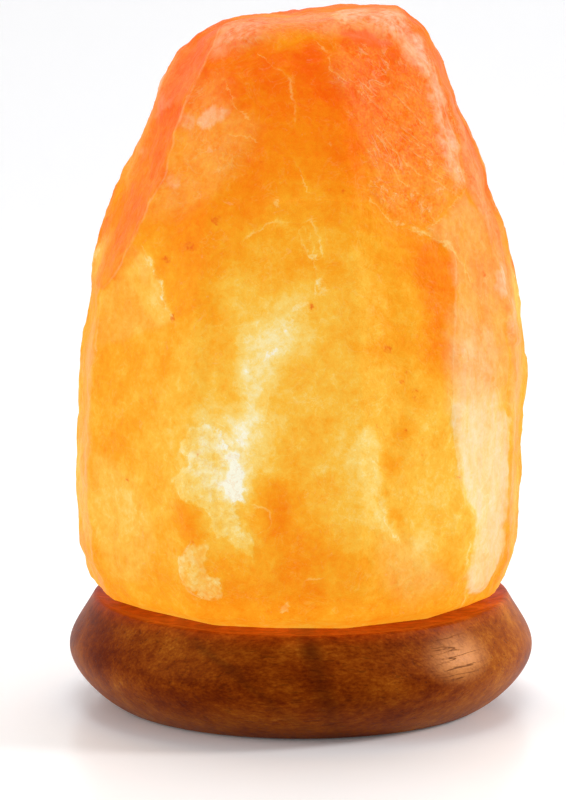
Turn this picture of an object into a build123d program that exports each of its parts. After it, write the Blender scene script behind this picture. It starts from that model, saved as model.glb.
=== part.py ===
from build123d import *
import math
import os

# Salt crystal lamp: a hewn rock-salt crystal, bored from below, screwed on a turned wooden base.
# A small screw-in bulb stands in the bore, in a lampholder that clips into the base from below.
#
# Millimetres. The origin is the middle of the base on the table, +Z up, -Y towards the viewer,
# and the cord channel leaves the base towards +Y.

# ---------------------------------------------------------------- driving dimensions

# Wooden base, a turned disc with a rounded belly
BASE_R = 65.8            # radius of the belly, the widest place of the lamp
BASE_H = 29.9            # thickness of the wood, underside to lip
FEET_LIFT = 0.4          # the rubber feet hold the wood this far off the table
BELLY_RISE = 15.7        # the belly above the underside
UNDERSIDE_INSET = 12.4   # underside edge in from the belly
CHEEK_INSET = 4.2        # lower cheek in from the belly
CHEEK_DROP = 9.0         # lower cheek below the belly
SHOULDER_INSET = 3.2     # upper shoulder in from the belly
SHOULDER_RISE = 7.8      # upper shoulder above the belly
LIP_INSET = 7.1          # lip in from the belly
LIP_ROUND = 1.2          # edge rounding of the lip
DISH_DEPTH = 0.8         # the seat of the crystal below the lip
DISH_RUN = 5.0           # width of the sloping ring inside the lip
BORE_R = 24.0            # middle hole for the bulb and its holder
HOLLOW_GAP = 0.8         # wall of the hollow underside, clear of the crystal's washers
WEB_H = 13.0             # wood left between the seat and the hollow underside
CHANNEL_W = 9.0          # cord channel from the hollow to the back

# Rubber feet
FOOT_R = 4.0
FOOT_SINK = 1.0          # how deep a foot sits in its pocket
FOOT_COUNT = 4
FOOT_FIRST = 45.0        # direction of the first one, degrees
POCKET_GAP = 0.1         # gap round a foot in its pocket

# Salt crystal
CRYSTAL_H = 167.5        # seat to the highest point
CAVITY_GAP = 0.5         # bore for the bulb, wider all round than the bore in the wood
CAVITY_ROUND = 8.0       # rounded end of the bore
CAVITY_AIR = 8.0         # air over the bulb when it is screwed right out

# Corners of the crystal seen from above: direction in degrees, and reach against an ellipse
CORNERS = [(177, 1.00), (242, 1.02), (261, 0.985), (284, 1.01), (314, 1.00),
           (339, 1.00), (5, 1.004), (37, 0.97), (64, 1.03), (95, 0.99), (136, 1.02)]
RIDGE_REACH = 1.0        # reach of one more corner, the left ridge, which wanders with the height
# Cross-sections: share of the crystal's height, then reach to the left, right, front and back,
# and the direction of the left ridge
SECTIONS = [(0.000, 49.4, 49.7, 46.5, 46.0, 207),
            (0.023, 59.3, 57.6, 54.0, 53.5, 206),
            (0.085, 62.9, 61.3, 59.5, 59.0, 204),
            (0.235, 64.2, 62.5, 61.5, 60.0, 202),
            (0.400, 62.9, 63.6, 60.5, 61.0, 202),
            (0.530, 59.4, 60.9, 57.0, 57.5, 199),
            (0.620, 56.6, 57.5, 52.0, 52.5, 213),
            (0.715, 50.5, 52.0, 46.0, 47.0, 220),
            (0.815, 43.0, 45.3, 39.5, 40.0, 220),
            (0.905, 36.8, 39.4, 32.0, 33.0, 222),
            (0.960, 27.6, 34.4, 25.0, 27.0, 218),
            (1.010, 20.6, 24.5, 17.0, 19.0, 212)]
# Cleavage faces: direction, slope of the face's normal above level, height and distance from the axis
CLEAVAGES = [("top face", 188, 84.3, 164.4, 0.0),
             ("front brow", 256, 33.0, 135.0, 42.0),
             ("front flat", 268, 3.0, 60.0, 59.6),
             ("right brow", 330, 24.0, 118.0, 53.6),
             ("left brow", 214, 25.0, 128.0, 49.6),
             ("back slab", 78, 19.0, 112.0, 51.0),
             ("back chip", 142, 36.0, 134.0, 43.0),
             ("lower chip", 118, -24.0, 26.0, 56.5)]

# Crystal screws, with washers under the wood and plastic anchors in the salt
CRYSTAL_SCREW_COUNT = 3
WASHER_GAP = 1.3             # washers clear of the holder's plate
CRYSTAL_SCREW_FIRST = 30.0   # direction of the first one, degrees
CRYSTAL_SCREW_R = 2.1
CRYSTAL_SCREW_HEAD_R = 4.0
CRYSTAL_SCREW_HEAD_H = 2.6
CRYSTAL_SCREW_LENGTH = 31.0  # under the head
SCREW_HOLE_GAP = 0.3         # clearance round the screw in the wood
WASHER_R = 5.2
WASHER_H = 1.0
ANCHOR_R = 4.2
ANCHOR_H = 21.0
DRIVE_SLOT_W = 0.9
SNUG = 0.03                  # gap between fixed pieces that sit in one another

# Lampholder: plate, sleeve, insulator, cap
PLATE_LAP = 3.5              # rim of the plate beyond the bore
PLATE_T = 1.2
PLATE_HOLE_R = 9.7
SLEEVE_R = 12.5
SLEEVE_WALL = 1.6
SLEEVE_H = 29.5
SLEEVE_MOUTH_R = 8.7
SLEEVE_LIP_H = 2.0
SLEEVE_FLANGE_R = 15.8
SLEEVE_FLANGE_H = 1.8
SLEEVE_SCREW_R = 1.0
SLEEVE_SCREW_HEAD_R = 1.5
SLEEVE_SCREW_HEAD_H = 1.2
SLEEVE_SCREW_END = 0.8       # screw end standing out below the plate
INSERT_H = 5.0
INSERT_GAP = 0.1             # gap round the insulator in its sleeve
BOSS_R = 2.6
CUP_R = 12.0
CUP_WALL = 1.5
CUP_DEPTH = 10.8
CUP_SCREW_R = 1.5
CUP_SCREW_HEAD_R = 2.8
CUP_SCREW_HEAD_H = 1.5
CUP_SCREW_LENGTH = 9.0
INLET_R = 3.2                # hole for the cord
INLET_WALL = 1.4
INLET_REACH = 17.0           # mouth of the inlet behind the axis

# Contacts and terminals
STRIP_T = 0.6
STRIP_W = 3.0
BLOCK_IN = 5.5               # inner face of a terminal block from the axis
BLOCK_L = 3.5
BLOCK_W = 6.0
BLOCK_H = 5.5
TERMINAL_SCREW_R = 1.2
TERMINAL_SCREW_H = 2.2
LEAF_T = 0.4
LEAF_W = 3.6
LEAF_REACH = 2.4             # free end of the leaf past the axis
LEAF_RISE = 0.7              # the leaf slopes up this much to the bulb
LEAF_PIVOT_X = -5.4
PAD_T = 0.4
LEAF_GAP = 0.15              # leaf above its pad, and below the bulb's tip

# Screw thread of a small bulb, right-handed
THREAD_PITCH = 2.822
SHELL_R = 7.5                # outside of the holder's shell
SHELL_WALL = 0.42
SHELL_H = 21.0
SHELL_FLANGE_R = 9.5
SHELL_FLANGE_T = 0.4
SHELL_THREAD_R = 6.30        # crest of the holder's thread
SHELL_THREAD_START = 4.5     # above the bottom of the shell
SHELL_THREAD_H = 14.0
SHELL_THREAD_W = (1.4, 0.6)  # width of the thread at its root and at its crest
CAP_R = 6.15                 # bulb cap between the threads
CAP_WALL = 0.4
CAP_THREAD_R = 6.94          # crest of the bulb's thread
CAP_THREAD_START = 1.7       # above the bottom of the cap
CAP_THREAD_H = 12.0
CAP_THREAD_W = (1.55, 0.70)
THREAD_ROOT_SINK = 0.2       # root of a thread inside its wall

# Bulb
TIP_R = 2.4
TIP_H = 1.3
TIP_ROUND = 0.5
VITRITE_H = 3.2
VITRITE_R = 5.6
CAP_H = 16.7
CAP_SKIRT_R = 7.2
CAP_SKIRT_H = 1.7
GLASS_R = 12.5
GLASS_WALL = 0.8
GLASS_NECK_R = 5.5
GLASS_NECK_H = 3.5           # neck inside the cap
GLASS_H = 39.5               # from the cap's top to the top of the bulb
GLASS_SHOULDER_H = 2.0       # the glass starts to swell this far above the cap
GLASS_SHOULDER_LEAN = 0.35   # how far outwards it sets off there, for each unit upwards
STEM_R = 2.4
STEM_H = 13.0
STEM_FOOT_H = 1.0
WIRE_R = 0.25
WIRE_SPREAD = 4.5
WIRE_H = 10.0
FILAMENT_COIL_R = 0.5
FILAMENT_WIRE_R = 0.13
FILAMENT_PITCH = 0.9

# Spring clips on the plate, one on each side
CLIP_PIVOT_R = 18.5          # pivot pin from the axis
CLIP_PIVOT_H = 3.0           # pivot pin above the plate
CLIP_W = 6.4
CLIP_T = 1.0
CLIP_KNEE_H = 9.5            # knee above the plate
CLIP_KNEE_GAP = 0.3          # the knee's corners stay this far from the wall of the bore
CLIP_TIP_R = 18.5
CLIP_TIP_H = 19.5
CLIP_KNEE_ROUND = 1.5
CLIP_HUB_R = 1.8
CLIP_HUB_W = 3.9
CLIP_SPRING_ROOM = 0.4       # free ring between the hub's radius and the strip beside the spring
PIN_R = 0.9
PIN_GAP = 0.05
PIN_END = 0.4                # pin standing out of each lug
LUG_T = 1.2
LUG_W = 4.0
LUG_GAP = 0.4
LUG_TOP = 2.2                # lug above the pin
SPRING_WIRE_R = 0.2
SPRING_COIL_R = 1.4
SPRING_TURNS = 4
SPRING_GAP = 0.1             # spring clear of the hub

# ---------------------------------------------------------------- places worked out from them

base_bottom = FEET_LIFT
lip_z = base_bottom + BASE_H
seat_z = lip_z - DISH_DEPTH
web_z = seat_z - WEB_H
belly_z = base_bottom + BELLY_RISE

underside_r = BASE_R - UNDERSIDE_INSET
plate_r = BORE_R + PLATE_LAP
crystal_screw_circle_r = plate_r + WASHER_GAP + WASHER_R
hollow_r = crystal_screw_circle_r + WASHER_R + HOLLOW_GAP
foot_circle_r = (hollow_r + underside_r) / 2
cavity_r = BORE_R + CAVITY_GAP

plate_top = web_z
plate_bottom = plate_top - PLATE_T
cup_bottom = plate_bottom - CUP_DEPTH
inlet_z = cup_bottom + CUP_DEPTH / 2
insert_top = plate_top + INSERT_H
sleeve_top = plate_top + SLEEVE_H

pad_top = insert_top + PAD_T
leaf_root_z = pad_top + LEAF_GAP + LEAF_T / 2
leaf_top = leaf_root_z + LEAF_RISE + LEAF_T / 2
tip_bottom = leaf_top + LEAF_GAP
vitrite_bottom = tip_bottom + TIP_H
cap_bottom = vitrite_bottom + VITRITE_H
cap_top = cap_bottom + CAP_H
bulb_top = cap_top + GLASS_H
unscrew_turns = 4
cavity_top = bulb_top + unscrew_turns * THREAD_PITCH + CAVITY_AIR

clip_pivot = (CLIP_PIVOT_R, plate_top + CLIP_PIVOT_H)
lug_inner = CLIP_W / 2 + LUG_GAP
lug_outer = lug_inner + LUG_T
sleeve_screw_circle_r = (SLEEVE_R + SLEEVE_FLANGE_R) / 2

ON_FLOOR = (Align.CENTER, Align.CENTER, Align.MIN)
OVERSHOOT = 1.0              # how far a cutting solid runs past the face it opens
SAME = 0.01                  # two sizes closer than this are the same


# ---------------------------------------------------------------- small helpers

def rod(radius, z_low, z_high, x=0.0, y=0.0):
    """An upright cylinder between two heights."""
    return Pos(x, y, z_low) * Cylinder(radius, z_high - z_low, align=ON_FLOOR)


def block(x_low, x_high, y_low, y_high, z_low, z_high):
    """A box between two corners."""
    size = (x_high - x_low, y_high - y_low, z_high - z_low)
    middle = ((x_low + x_high) / 2, (y_low + y_high) / 2, (z_low + z_high) / 2)
    return Pos(*middle) * Box(*size)


def turned(outline):
    """A closed outline in the XZ plane, turned round the Z axis."""
    return revolve(Plane.XZ * make_face(outline), axis=Axis.Z)


def round_y(radius, x, z, y_low, y_high):
    """A cylinder that lies along Y."""
    plane = Plane(origin=(x, y_low, z), z_dir=(0, 1, 0))
    return plane * Cylinder(radius, y_high - y_low, align=ON_FLOOR)


def bent_strip(spine, thickness, width):
    """A strip along a line drawn in X and Z, as wide as given along Y."""
    side_view = Plane.XZ * trace(spine, line_width=thickness)
    return extrude(side_view, amount=width / 2, both=True)


def ring_places(count, radius, first_angle):
    """Evenly spaced places on a circle."""
    angles = [math.radians(first_angle + 360 * i / count) for i in range(count)]
    return [(radius * math.cos(a), radius * math.sin(a)) for a in angles]


def thread_ridge(root_r, crest_r, widths, height):
    """A helical ridge that starts at z = 0 and turns right-handed up to the height."""
    path = Helix(THREAD_PITCH, height, root_r)
    reach = crest_r - root_r
    root_half = widths[0] / 2
    crest_half = widths[1] / 2
    start = Plane(origin=path @ 0, x_dir=(1, 0, 0), z_dir=path % 0)
    section = Polyline((0, -root_half), (reach, -crest_half), (reach, crest_half), (0, root_half),
                       close=True)
    return sweep(start * make_face(section), path=path, is_frenet=True)


def slotted_head(radius, height, slot_w):
    """A slotted screw head that hangs below z = 0, slot downwards."""
    head = rod(radius, -height, 0)
    head = fillet(head.edges().group_by(Axis.Z)[0], height * 0.3)
    return head - block(-radius, radius, -slot_w / 2, slot_w / 2, -height, -height * 0.45)


# ---------------------------------------------------------------- base

def wooden_base():
    """Turned wood: belly, dished seat, middle bore, hollow underside and a cord channel."""
    lip_r = BASE_R - LIP_INSET
    dish_r = lip_r - DISH_RUN
    side = Spline((underside_r, base_bottom),
                  (BASE_R - CHEEK_INSET, belly_z - CHEEK_DROP),
                  (BASE_R, belly_z),
                  (BASE_R - SHOULDER_INSET, belly_z + SHOULDER_RISE),
                  (lip_r, lip_z))
    rest = Polyline((lip_r, lip_z), (lip_r - LIP_ROUND, lip_z), (dish_r, seat_z), (BORE_R, seat_z),
                    (BORE_R, web_z), (hollow_r, web_z), (hollow_r, base_bottom),
                    (underside_r, base_bottom))
    wood = turned([side, rest])
    lip = wood.edges().filter_by(GeomType.CIRCLE).filter_by(
        lambda e: abs(e.radius - lip_r) < SAME and abs(e.center().Z - lip_z) < SAME)
    wood = fillet(lip, LIP_ROUND * 0.8)
    channel = block(-CHANNEL_W / 2, CHANNEL_W / 2, hollow_r - CHANNEL_W, BASE_R + OVERSHOOT, 0, inlet_z)
    channel += round_y(CHANNEL_W / 2, 0, inlet_z, hollow_r - CHANNEL_W, BASE_R + OVERSHOOT)
    wood -= channel
    for x, y in ring_places(FOOT_COUNT, foot_circle_r, FOOT_FIRST):
        wood -= rod(FOOT_R + POCKET_GAP, base_bottom - OVERSHOOT, base_bottom + FOOT_SINK, x, y)
    for x, y in crystal_screw_places():
        wood -= rod(CRYSTAL_SCREW_R + SCREW_HOLE_GAP, web_z - OVERSHOOT, seat_z + OVERSHOOT, x, y)
    return wood


def rubber_feet():
    """Four short rubber plugs, with a rounded lower edge."""
    foot = rod(FOOT_R, 0, base_bottom + FOOT_SINK)
    foot = fillet(foot.edges().group_by(Axis.Z)[0], FEET_LIFT * 0.4)
    return [Pos(x, y, 0) * foot for x, y in ring_places(FOOT_COUNT, foot_circle_r, FOOT_FIRST)]


# ---------------------------------------------------------------- crystal and its screws

def crystal_screw_places():
    return ring_places(CRYSTAL_SCREW_COUNT, crystal_screw_circle_r, CRYSTAL_SCREW_FIRST)


def crystal_section(share, left, right, front, back, ridge):
    """One closed cross-section, with a corner in each of the crystal's directions."""
    corners = []
    for angle, reach in [CORNERS[0], (ridge, RIDGE_REACH), *CORNERS[1:]]:
        across = math.cos(math.radians(angle)) * reach
        along = math.sin(math.radians(angle)) * reach
        x = across * (right if across > 0 else left)
        y = along * (back if along > 0 else front)
        corners.append((x, y, seat_z + share * CRYSTAL_H))
    return make_face(Polyline(*corners, close=True))


def salt_crystal():
    """The hewn crystal: a many-sided body, cleft along a few faces and bored from below."""
    rock = loft([crystal_section(*row) for row in SECTIONS], ruled=True)
    for _, direction, slope, height, distance in CLEAVAGES:
        turn = math.radians(direction)
        lean = math.radians(slope)
        on_face = (distance * math.cos(turn), distance * math.sin(turn), seat_z + height)
        outward = (math.cos(lean) * math.cos(turn), math.cos(lean) * math.sin(turn), math.sin(lean))
        rock = split(rock, bisect_by=Plane(origin=on_face, z_dir=outward), keep=Keep.BOTTOM)
    cavity = rod(cavity_r, seat_z - OVERSHOOT, cavity_top)
    rock -= fillet(cavity.edges().group_by(Axis.Z)[-1], CAVITY_ROUND)
    for x, y in crystal_screw_places():
        rock -= rod(ANCHOR_R + SNUG, seat_z - OVERSHOOT, seat_z + ANCHOR_H, x, y)
    return rock


def crystal_screws():
    shank_top = web_z - WASHER_H + CRYSTAL_SCREW_LENGTH
    screw = Pos(0, 0, web_z - WASHER_H) * slotted_head(CRYSTAL_SCREW_HEAD_R, CRYSTAL_SCREW_HEAD_H,
                                                       DRIVE_SLOT_W)
    shank = rod(CRYSTAL_SCREW_R, web_z - WASHER_H, shank_top)
    shank = chamfer(shank.edges().group_by(Axis.Z)[-1], CRYSTAL_SCREW_R * 1.5, CRYSTAL_SCREW_R * 0.8)
    screw += shank
    return [Pos(x, y, 0) * screw for x, y in crystal_screw_places()]


def crystal_washers():
    hole = CRYSTAL_SCREW_R + SCREW_HOLE_GAP
    washer = rod(WASHER_R, web_z - WASHER_H, web_z)
    washer -= rod(hole, web_z - WASHER_H - OVERSHOOT, web_z + OVERSHOOT)
    return [Pos(x, y, 0) * washer for x, y in crystal_screw_places()]


def crystal_anchors():
    anchor = rod(ANCHOR_R, seat_z, seat_z + ANCHOR_H)
    anchor -= rod(CRYSTAL_SCREW_R + SNUG, seat_z - OVERSHOOT, seat_z + ANCHOR_H - ANCHOR_R / 2)
    return [Pos(x, y, 0) * anchor for x, y in crystal_screw_places()]


# ---------------------------------------------------------------- lampholder

def clip_lugs(side):
    """The two ears that carry one clip's pin, on the +X or -X side of the plate."""
    x_mid = side * CLIP_PIVOT_R
    lugs = []
    for y_low in (lug_inner, -lug_outer):
        ear = block(x_mid - LUG_W / 2, x_mid + LUG_W / 2, y_low, y_low + LUG_T, plate_top,
                    clip_pivot[1] + LUG_TOP)
        ear -= round_y(PIN_R + SNUG, x_mid, clip_pivot[1], y_low - OVERSHOOT, y_low + LUG_T + OVERSHOOT)
        lugs.append(ear)
    return lugs


def sleeve_screw_places():
    return [(0, sleeve_screw_circle_r), (0, -sleeve_screw_circle_r)]


def holder_plate():
    """Steel plate that closes the bore, with ears for the clips."""
    plate = rod(plate_r, plate_bottom, plate_top)
    plate -= rod(PLATE_HOLE_R, plate_bottom - OVERSHOOT, plate_top + OVERSHOOT)
    for x, y in sleeve_screw_places():
        plate -= rod(SLEEVE_SCREW_R + SNUG, plate_bottom - OVERSHOOT, plate_top + OVERSHOOT, x, y)
    for ear in clip_lugs(1) + clip_lugs(-1):
        plate += ear
    return plate


def holder_sleeve():
    """Moulded tube round the screw shell, open at the top for the bulb."""
    inner = SLEEVE_R - SLEEVE_WALL
    sleeve = rod(SLEEVE_R, plate_top, sleeve_top) + rod(SLEEVE_FLANGE_R, plate_top,
                                                        plate_top + SLEEVE_FLANGE_H)
    sleeve = fillet(sleeve.edges().group_by(Axis.Z)[-1], SLEEVE_LIP_H * 0.4)
    sleeve -= rod(inner, plate_top - OVERSHOOT, sleeve_top - SLEEVE_LIP_H)
    sleeve -= rod(SLEEVE_MOUTH_R, plate_top, sleeve_top + OVERSHOOT)
    for x, y in sleeve_screw_places():
        sleeve -= rod(SLEEVE_SCREW_R + SNUG, plate_top - OVERSHOOT,
                      plate_top + SLEEVE_FLANGE_H + OVERSHOOT, x, y)
    return sleeve


def sleeve_screws():
    head = Rot(180, 0, 0) * slotted_head(SLEEVE_SCREW_HEAD_R, SLEEVE_SCREW_HEAD_H, DRIVE_SLOT_W / 2)
    screw = Pos(0, 0, plate_top + SLEEVE_FLANGE_H) * head
    screw += rod(SLEEVE_SCREW_R, plate_bottom - SLEEVE_SCREW_END, plate_top + SLEEVE_FLANGE_H)
    return [Pos(x, y, 0) * screw for x, y in sleeve_screw_places()]


def holder_insert():
    """Moulded insulator in the sleeve, with a boss below for the cup's screw."""
    radius = SLEEVE_R - SLEEVE_WALL - INSERT_GAP
    insert = rod(radius, plate_top, insert_top)
    insert += rod(BOSS_R, cup_bottom + CUP_WALL, plate_top)
    insert -= rod(CUP_SCREW_R + SNUG, cup_bottom, cup_bottom + CUP_WALL + CUP_SCREW_LENGTH)
    for x in (centre_strip_x, side_strip_x):
        insert -= block(x - STRIP_T / 2 - SNUG, x + STRIP_T / 2 + SNUG, -STRIP_W / 2 - SNUG,
                        STRIP_W / 2 + SNUG, plate_top - OVERSHOOT, insert_top + OVERSHOOT)
    return insert


def holder_cup():
    """Moulded cup under the plate, over the terminals, with the cord inlet at the back."""
    cup = rod(CUP_R, cup_bottom, plate_bottom)
    cup = fillet(cup.edges().group_by(Axis.Z)[0], CUP_WALL * 0.5)
    cup += round_y(INLET_R + INLET_WALL, 0, inlet_z, 0, INLET_REACH)
    cup -= rod(CUP_R - CUP_WALL, cup_bottom + CUP_WALL, plate_bottom + OVERSHOOT)
    cup -= round_y(INLET_R, 0, inlet_z, 0, INLET_REACH + OVERSHOOT)
    cup -= rod(CUP_SCREW_R + SNUG, cup_bottom - OVERSHOOT, cup_bottom + CUP_WALL + OVERSHOOT)
    return cup


def cup_screw():
    screw = Pos(0, 0, cup_bottom) * slotted_head(CUP_SCREW_HEAD_R, CUP_SCREW_HEAD_H, DRIVE_SLOT_W)
    return screw + rod(CUP_SCREW_R, cup_bottom, cup_bottom + CUP_SCREW_LENGTH)


# ---------------------------------------------------------------- contacts

centre_strip_x = LEAF_PIVOT_X - STRIP_T
side_strip_x = (SHELL_R + SHELL_FLANGE_R) / 2
block_top = plate_bottom - STRIP_T


def screw_shell():
    """Threaded brass shell that takes the bulb's cap, standing on the insulator."""
    inner = SHELL_R - SHELL_WALL
    shell = rod(SHELL_R, insert_top, insert_top + SHELL_H)
    shell += rod(SHELL_FLANGE_R, insert_top, insert_top + SHELL_FLANGE_T)
    shell -= rod(inner, insert_top - OVERSHOOT, insert_top + SHELL_H + OVERSHOOT)
    ridge = thread_ridge(inner + THREAD_ROOT_SINK, SHELL_THREAD_R, SHELL_THREAD_W, SHELL_THREAD_H)
    return shell + Pos(0, 0, insert_top + SHELL_THREAD_START) * ridge


def side_terminal():
    """Upright strip from the shell's flange down to its terminal block."""
    return block(side_strip_x - STRIP_T / 2, side_strip_x + STRIP_T / 2, -STRIP_W / 2, STRIP_W / 2,
                 block_top, insert_top)


def centre_terminal():
    """Upright strip with a pad under the root of the centre leaf."""
    strip = block(centre_strip_x - STRIP_T / 2, centre_strip_x + STRIP_T / 2, -STRIP_W / 2,
                  STRIP_W / 2, block_top, pad_top)
    return strip + block(centre_strip_x - STRIP_T / 2, LEAF_PIVOT_X + LEAF_T, -STRIP_W / 2,
                         STRIP_W / 2, insert_top, pad_top)


def terminal_block(side):
    x_low, x_high = sorted((side * BLOCK_IN, side * (BLOCK_IN + BLOCK_L)))
    solid = block(x_low, x_high, -BLOCK_W / 2, BLOCK_W / 2, block_top - BLOCK_H, block_top)
    x_mid = (x_low + x_high) / 2
    hole_z = block_top - BLOCK_H / 3
    solid -= round_y(TERMINAL_SCREW_R, x_mid, hole_z, -BLOCK_W, BLOCK_W)
    return solid - rod(TERMINAL_SCREW_R + SNUG, block_top - BLOCK_H - OVERSHOOT, hole_z, x_mid, 0)


def terminal_blocks():
    return [terminal_block(1), terminal_block(-1)]


def terminal_screws():
    """A grub screw from below in each terminal block."""
    low = block_top - BLOCK_H
    screw = rod(TERMINAL_SCREW_R, low - TERMINAL_SCREW_H / 3, low + TERMINAL_SCREW_H)
    screw -= block(-TERMINAL_SCREW_R, TERMINAL_SCREW_R, -DRIVE_SLOT_W / 4, DRIVE_SLOT_W / 4,
                   low - TERMINAL_SCREW_H, low - TERMINAL_SCREW_H / 3 + DRIVE_SLOT_W / 2)
    x_mid = BLOCK_IN + BLOCK_L / 2
    return [Pos(x_mid, 0, 0) * screw, Pos(-x_mid, 0, 0) * screw]


def centre_contact():
    """Springy leaf from its root on the pad up to the middle, under the bulb's tip."""
    rise_end = (0, leaf_root_z + LEAF_RISE)
    spine = Polyline((LEAF_PIVOT_X, leaf_root_z), (-LEAF_REACH, leaf_root_z + LEAF_RISE), rise_end,
                     (LEAF_REACH, leaf_root_z + LEAF_RISE))
    return bent_strip(spine, LEAF_T, LEAF_W)


# ---------------------------------------------------------------- bulb

def bulb_tip():
    """Rounded solder contact under the bulb."""
    tip = rod(TIP_R, tip_bottom, vitrite_bottom)
    return fillet(tip.edges().group_by(Axis.Z)[0], TIP_ROUND)


def bulb_insulator():
    """Black glass cone between the tip and the cap."""
    cone = Polyline((0, vitrite_bottom), (TIP_R, vitrite_bottom), (VITRITE_R, cap_bottom),
                    (VITRITE_R, cap_bottom + CAP_THREAD_START), (0, cap_bottom + CAP_THREAD_START),
                    close=True)
    return turned(cone)


def bulb_cap():
    """Brass screw cap with a real helical thread and a flared skirt."""
    skirt_z = cap_top - CAP_SKIRT_H
    wall = Polyline((CAP_R - CAP_WALL, cap_bottom), (CAP_R, cap_bottom), (CAP_R, skirt_z),
                    (CAP_SKIRT_R, cap_top), (CAP_SKIRT_R - CAP_WALL, cap_top),
                    (CAP_R - CAP_WALL, skirt_z), close=True)
    ridge = thread_ridge(CAP_R - THREAD_ROOT_SINK, CAP_THREAD_R, CAP_THREAD_W, CAP_THREAD_H)
    return turned(wall) + Pos(0, 0, cap_bottom + CAP_THREAD_START) * Rot(0, 0, thread_phase()) * ridge


def thread_phase():
    """Turn that puts the bulb's thread midway between the turns of the holder's thread."""
    rise = (cap_bottom + CAP_THREAD_START) - (insert_top + SHELL_THREAD_START)
    return 360 * (rise / THREAD_PITCH - 0.5)


def glass_outline(inset):
    """The bulb's outline from its neck to its crown, moved in by the wall's thickness."""
    neck_low = cap_top - GLASS_NECK_H
    shoulder_z = cap_top + GLASS_SHOULDER_H
    widest_z = bulb_top - GLASS_R
    radius = GLASS_R - inset
    neck = GLASS_NECK_R - inset
    swell = Spline((neck, shoulder_z), (radius, widest_z), tangents=[(GLASS_SHOULDER_LEAN, 1), (0, 1)])
    crown = ThreePointArc((radius, widest_z),
                          (radius * math.sin(math.pi / 4), widest_z + radius * math.cos(math.pi / 4)),
                          (0, widest_z + radius))
    return neck, neck_low, shoulder_z, swell, crown


def bulb_glass():
    """Hollow glass envelope, open at its neck inside the cap."""
    neck_out, low, shoulder_z, swell_out, crown_out = glass_outline(0)
    neck_in, _, _, swell_in, crown_in = glass_outline(GLASS_WALL)
    crown_in_top = bulb_top - GLASS_WALL
    outline = [Line((neck_in, low), (neck_out, low)), Line((neck_out, low), (neck_out, shoulder_z)),
               swell_out, crown_out, Line((0, bulb_top), (0, crown_in_top)), crown_in, swell_in,
               Line((neck_in, shoulder_z), (neck_in, low))]
    return turned(outline)


def bulb_stem():
    """Glass mount with a flared foot that closes the neck."""
    low = cap_top - GLASS_NECK_H
    foot_r = GLASS_NECK_R - GLASS_WALL - SNUG
    outline = Polyline((0, low), (foot_r, low), (foot_r, low + STEM_FOOT_H),
                       (STEM_R, low + STEM_FOOT_H + STEM_R), (STEM_R * 0.7, low + STEM_H),
                       (0, low + STEM_H), close=True)
    return turned(outline)


def bulb_wires():
    """The two support wires from the stem to the filament."""
    low = cap_top - GLASS_NECK_H + STEM_H
    wires = []
    for side in (1, -1):
        foot = Vector(side * STEM_R * 0.4, 0, low)
        head = Vector(side * WIRE_SPREAD, 0, low + WIRE_H)
        along = head - foot
        start = Plane(origin=foot, z_dir=along)
        wires.append(start * Cylinder(WIRE_R, along.length, align=ON_FLOOR))
    return wires


def bulb_filament():
    """Coiled filament between the heads of the wires."""
    length = 2 * (WIRE_SPREAD - WIRE_R * 2)
    z = cap_top - GLASS_NECK_H + STEM_H + WIRE_H
    path = Plane(origin=(-length / 2, 0, z), z_dir=(1, 0, 0)) * Helix(FILAMENT_PITCH, length,
                                                                       FILAMENT_COIL_R)
    start = Plane(origin=path @ 0, z_dir=path % 0)
    return sweep(start * Circle(FILAMENT_WIRE_R), path=path, is_frenet=True)


# ---------------------------------------------------------------- spring clips

def clip_knee_x():
    """Outer corner of the knee just inside the wall of the bore."""
    corner_r = BORE_R - CLIP_KNEE_GAP
    return math.sqrt(corner_r ** 2 - (CLIP_W / 2) ** 2)


def clip_right():
    """Bent steel strip on a hub; its knee presses on the wall of the bore."""
    x, z = clip_pivot
    knee_x = clip_knee_x() - CLIP_T / 2
    spine = FilletPolyline((x, z), (knee_x, plate_top + CLIP_KNEE_H),
                           (CLIP_TIP_R, plate_top + CLIP_TIP_H), radius=CLIP_KNEE_ROUND)
    strip = bent_strip(spine, CLIP_T, CLIP_W)
    hub_end = -CLIP_W / 2 + CLIP_HUB_W
    strip -= round_y(CLIP_HUB_R + CLIP_SPRING_ROOM, x, z, hub_end, CLIP_W)
    hub = round_y(CLIP_HUB_R, x, z, -CLIP_W / 2, hub_end)
    arm = strip + hub
    return arm - round_y(PIN_R + PIN_GAP, x, z, -CLIP_W, CLIP_W)


def clip_pins():
    reach = lug_outer + PIN_END
    return [round_y(PIN_R, side * CLIP_PIVOT_R, clip_pivot[1], -reach, reach) for side in (1, -1)]


def clip_spring_right():
    """Torsion spring on the pin beside the hub, with one leg down on the plate."""
    x, z = clip_pivot
    y_start = -CLIP_W / 2 + CLIP_HUB_W + SPRING_WIRE_R + SPRING_GAP
    room = CLIP_W / 2 - y_start - SPRING_WIRE_R
    path = Plane(origin=(x, y_start, z), x_dir=(1, 0, 0), z_dir=(0, 1, 0)) * Helix(
        room / SPRING_TURNS, room, SPRING_COIL_R)
    start = Plane(origin=path @ 0, z_dir=path % 0)
    coil = sweep(start * Circle(SPRING_WIRE_R), path=path, is_frenet=True)
    leg = rod(SPRING_WIRE_R, plate_top, z, x + SPRING_COIL_R, y_start)
    return coil + leg


def other_side(solid):
    """The same piece on the -X side, turned half round the axis."""
    return Rot(0, 0, 180) * solid


# ---------------------------------------------------------------- write the pieces

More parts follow.
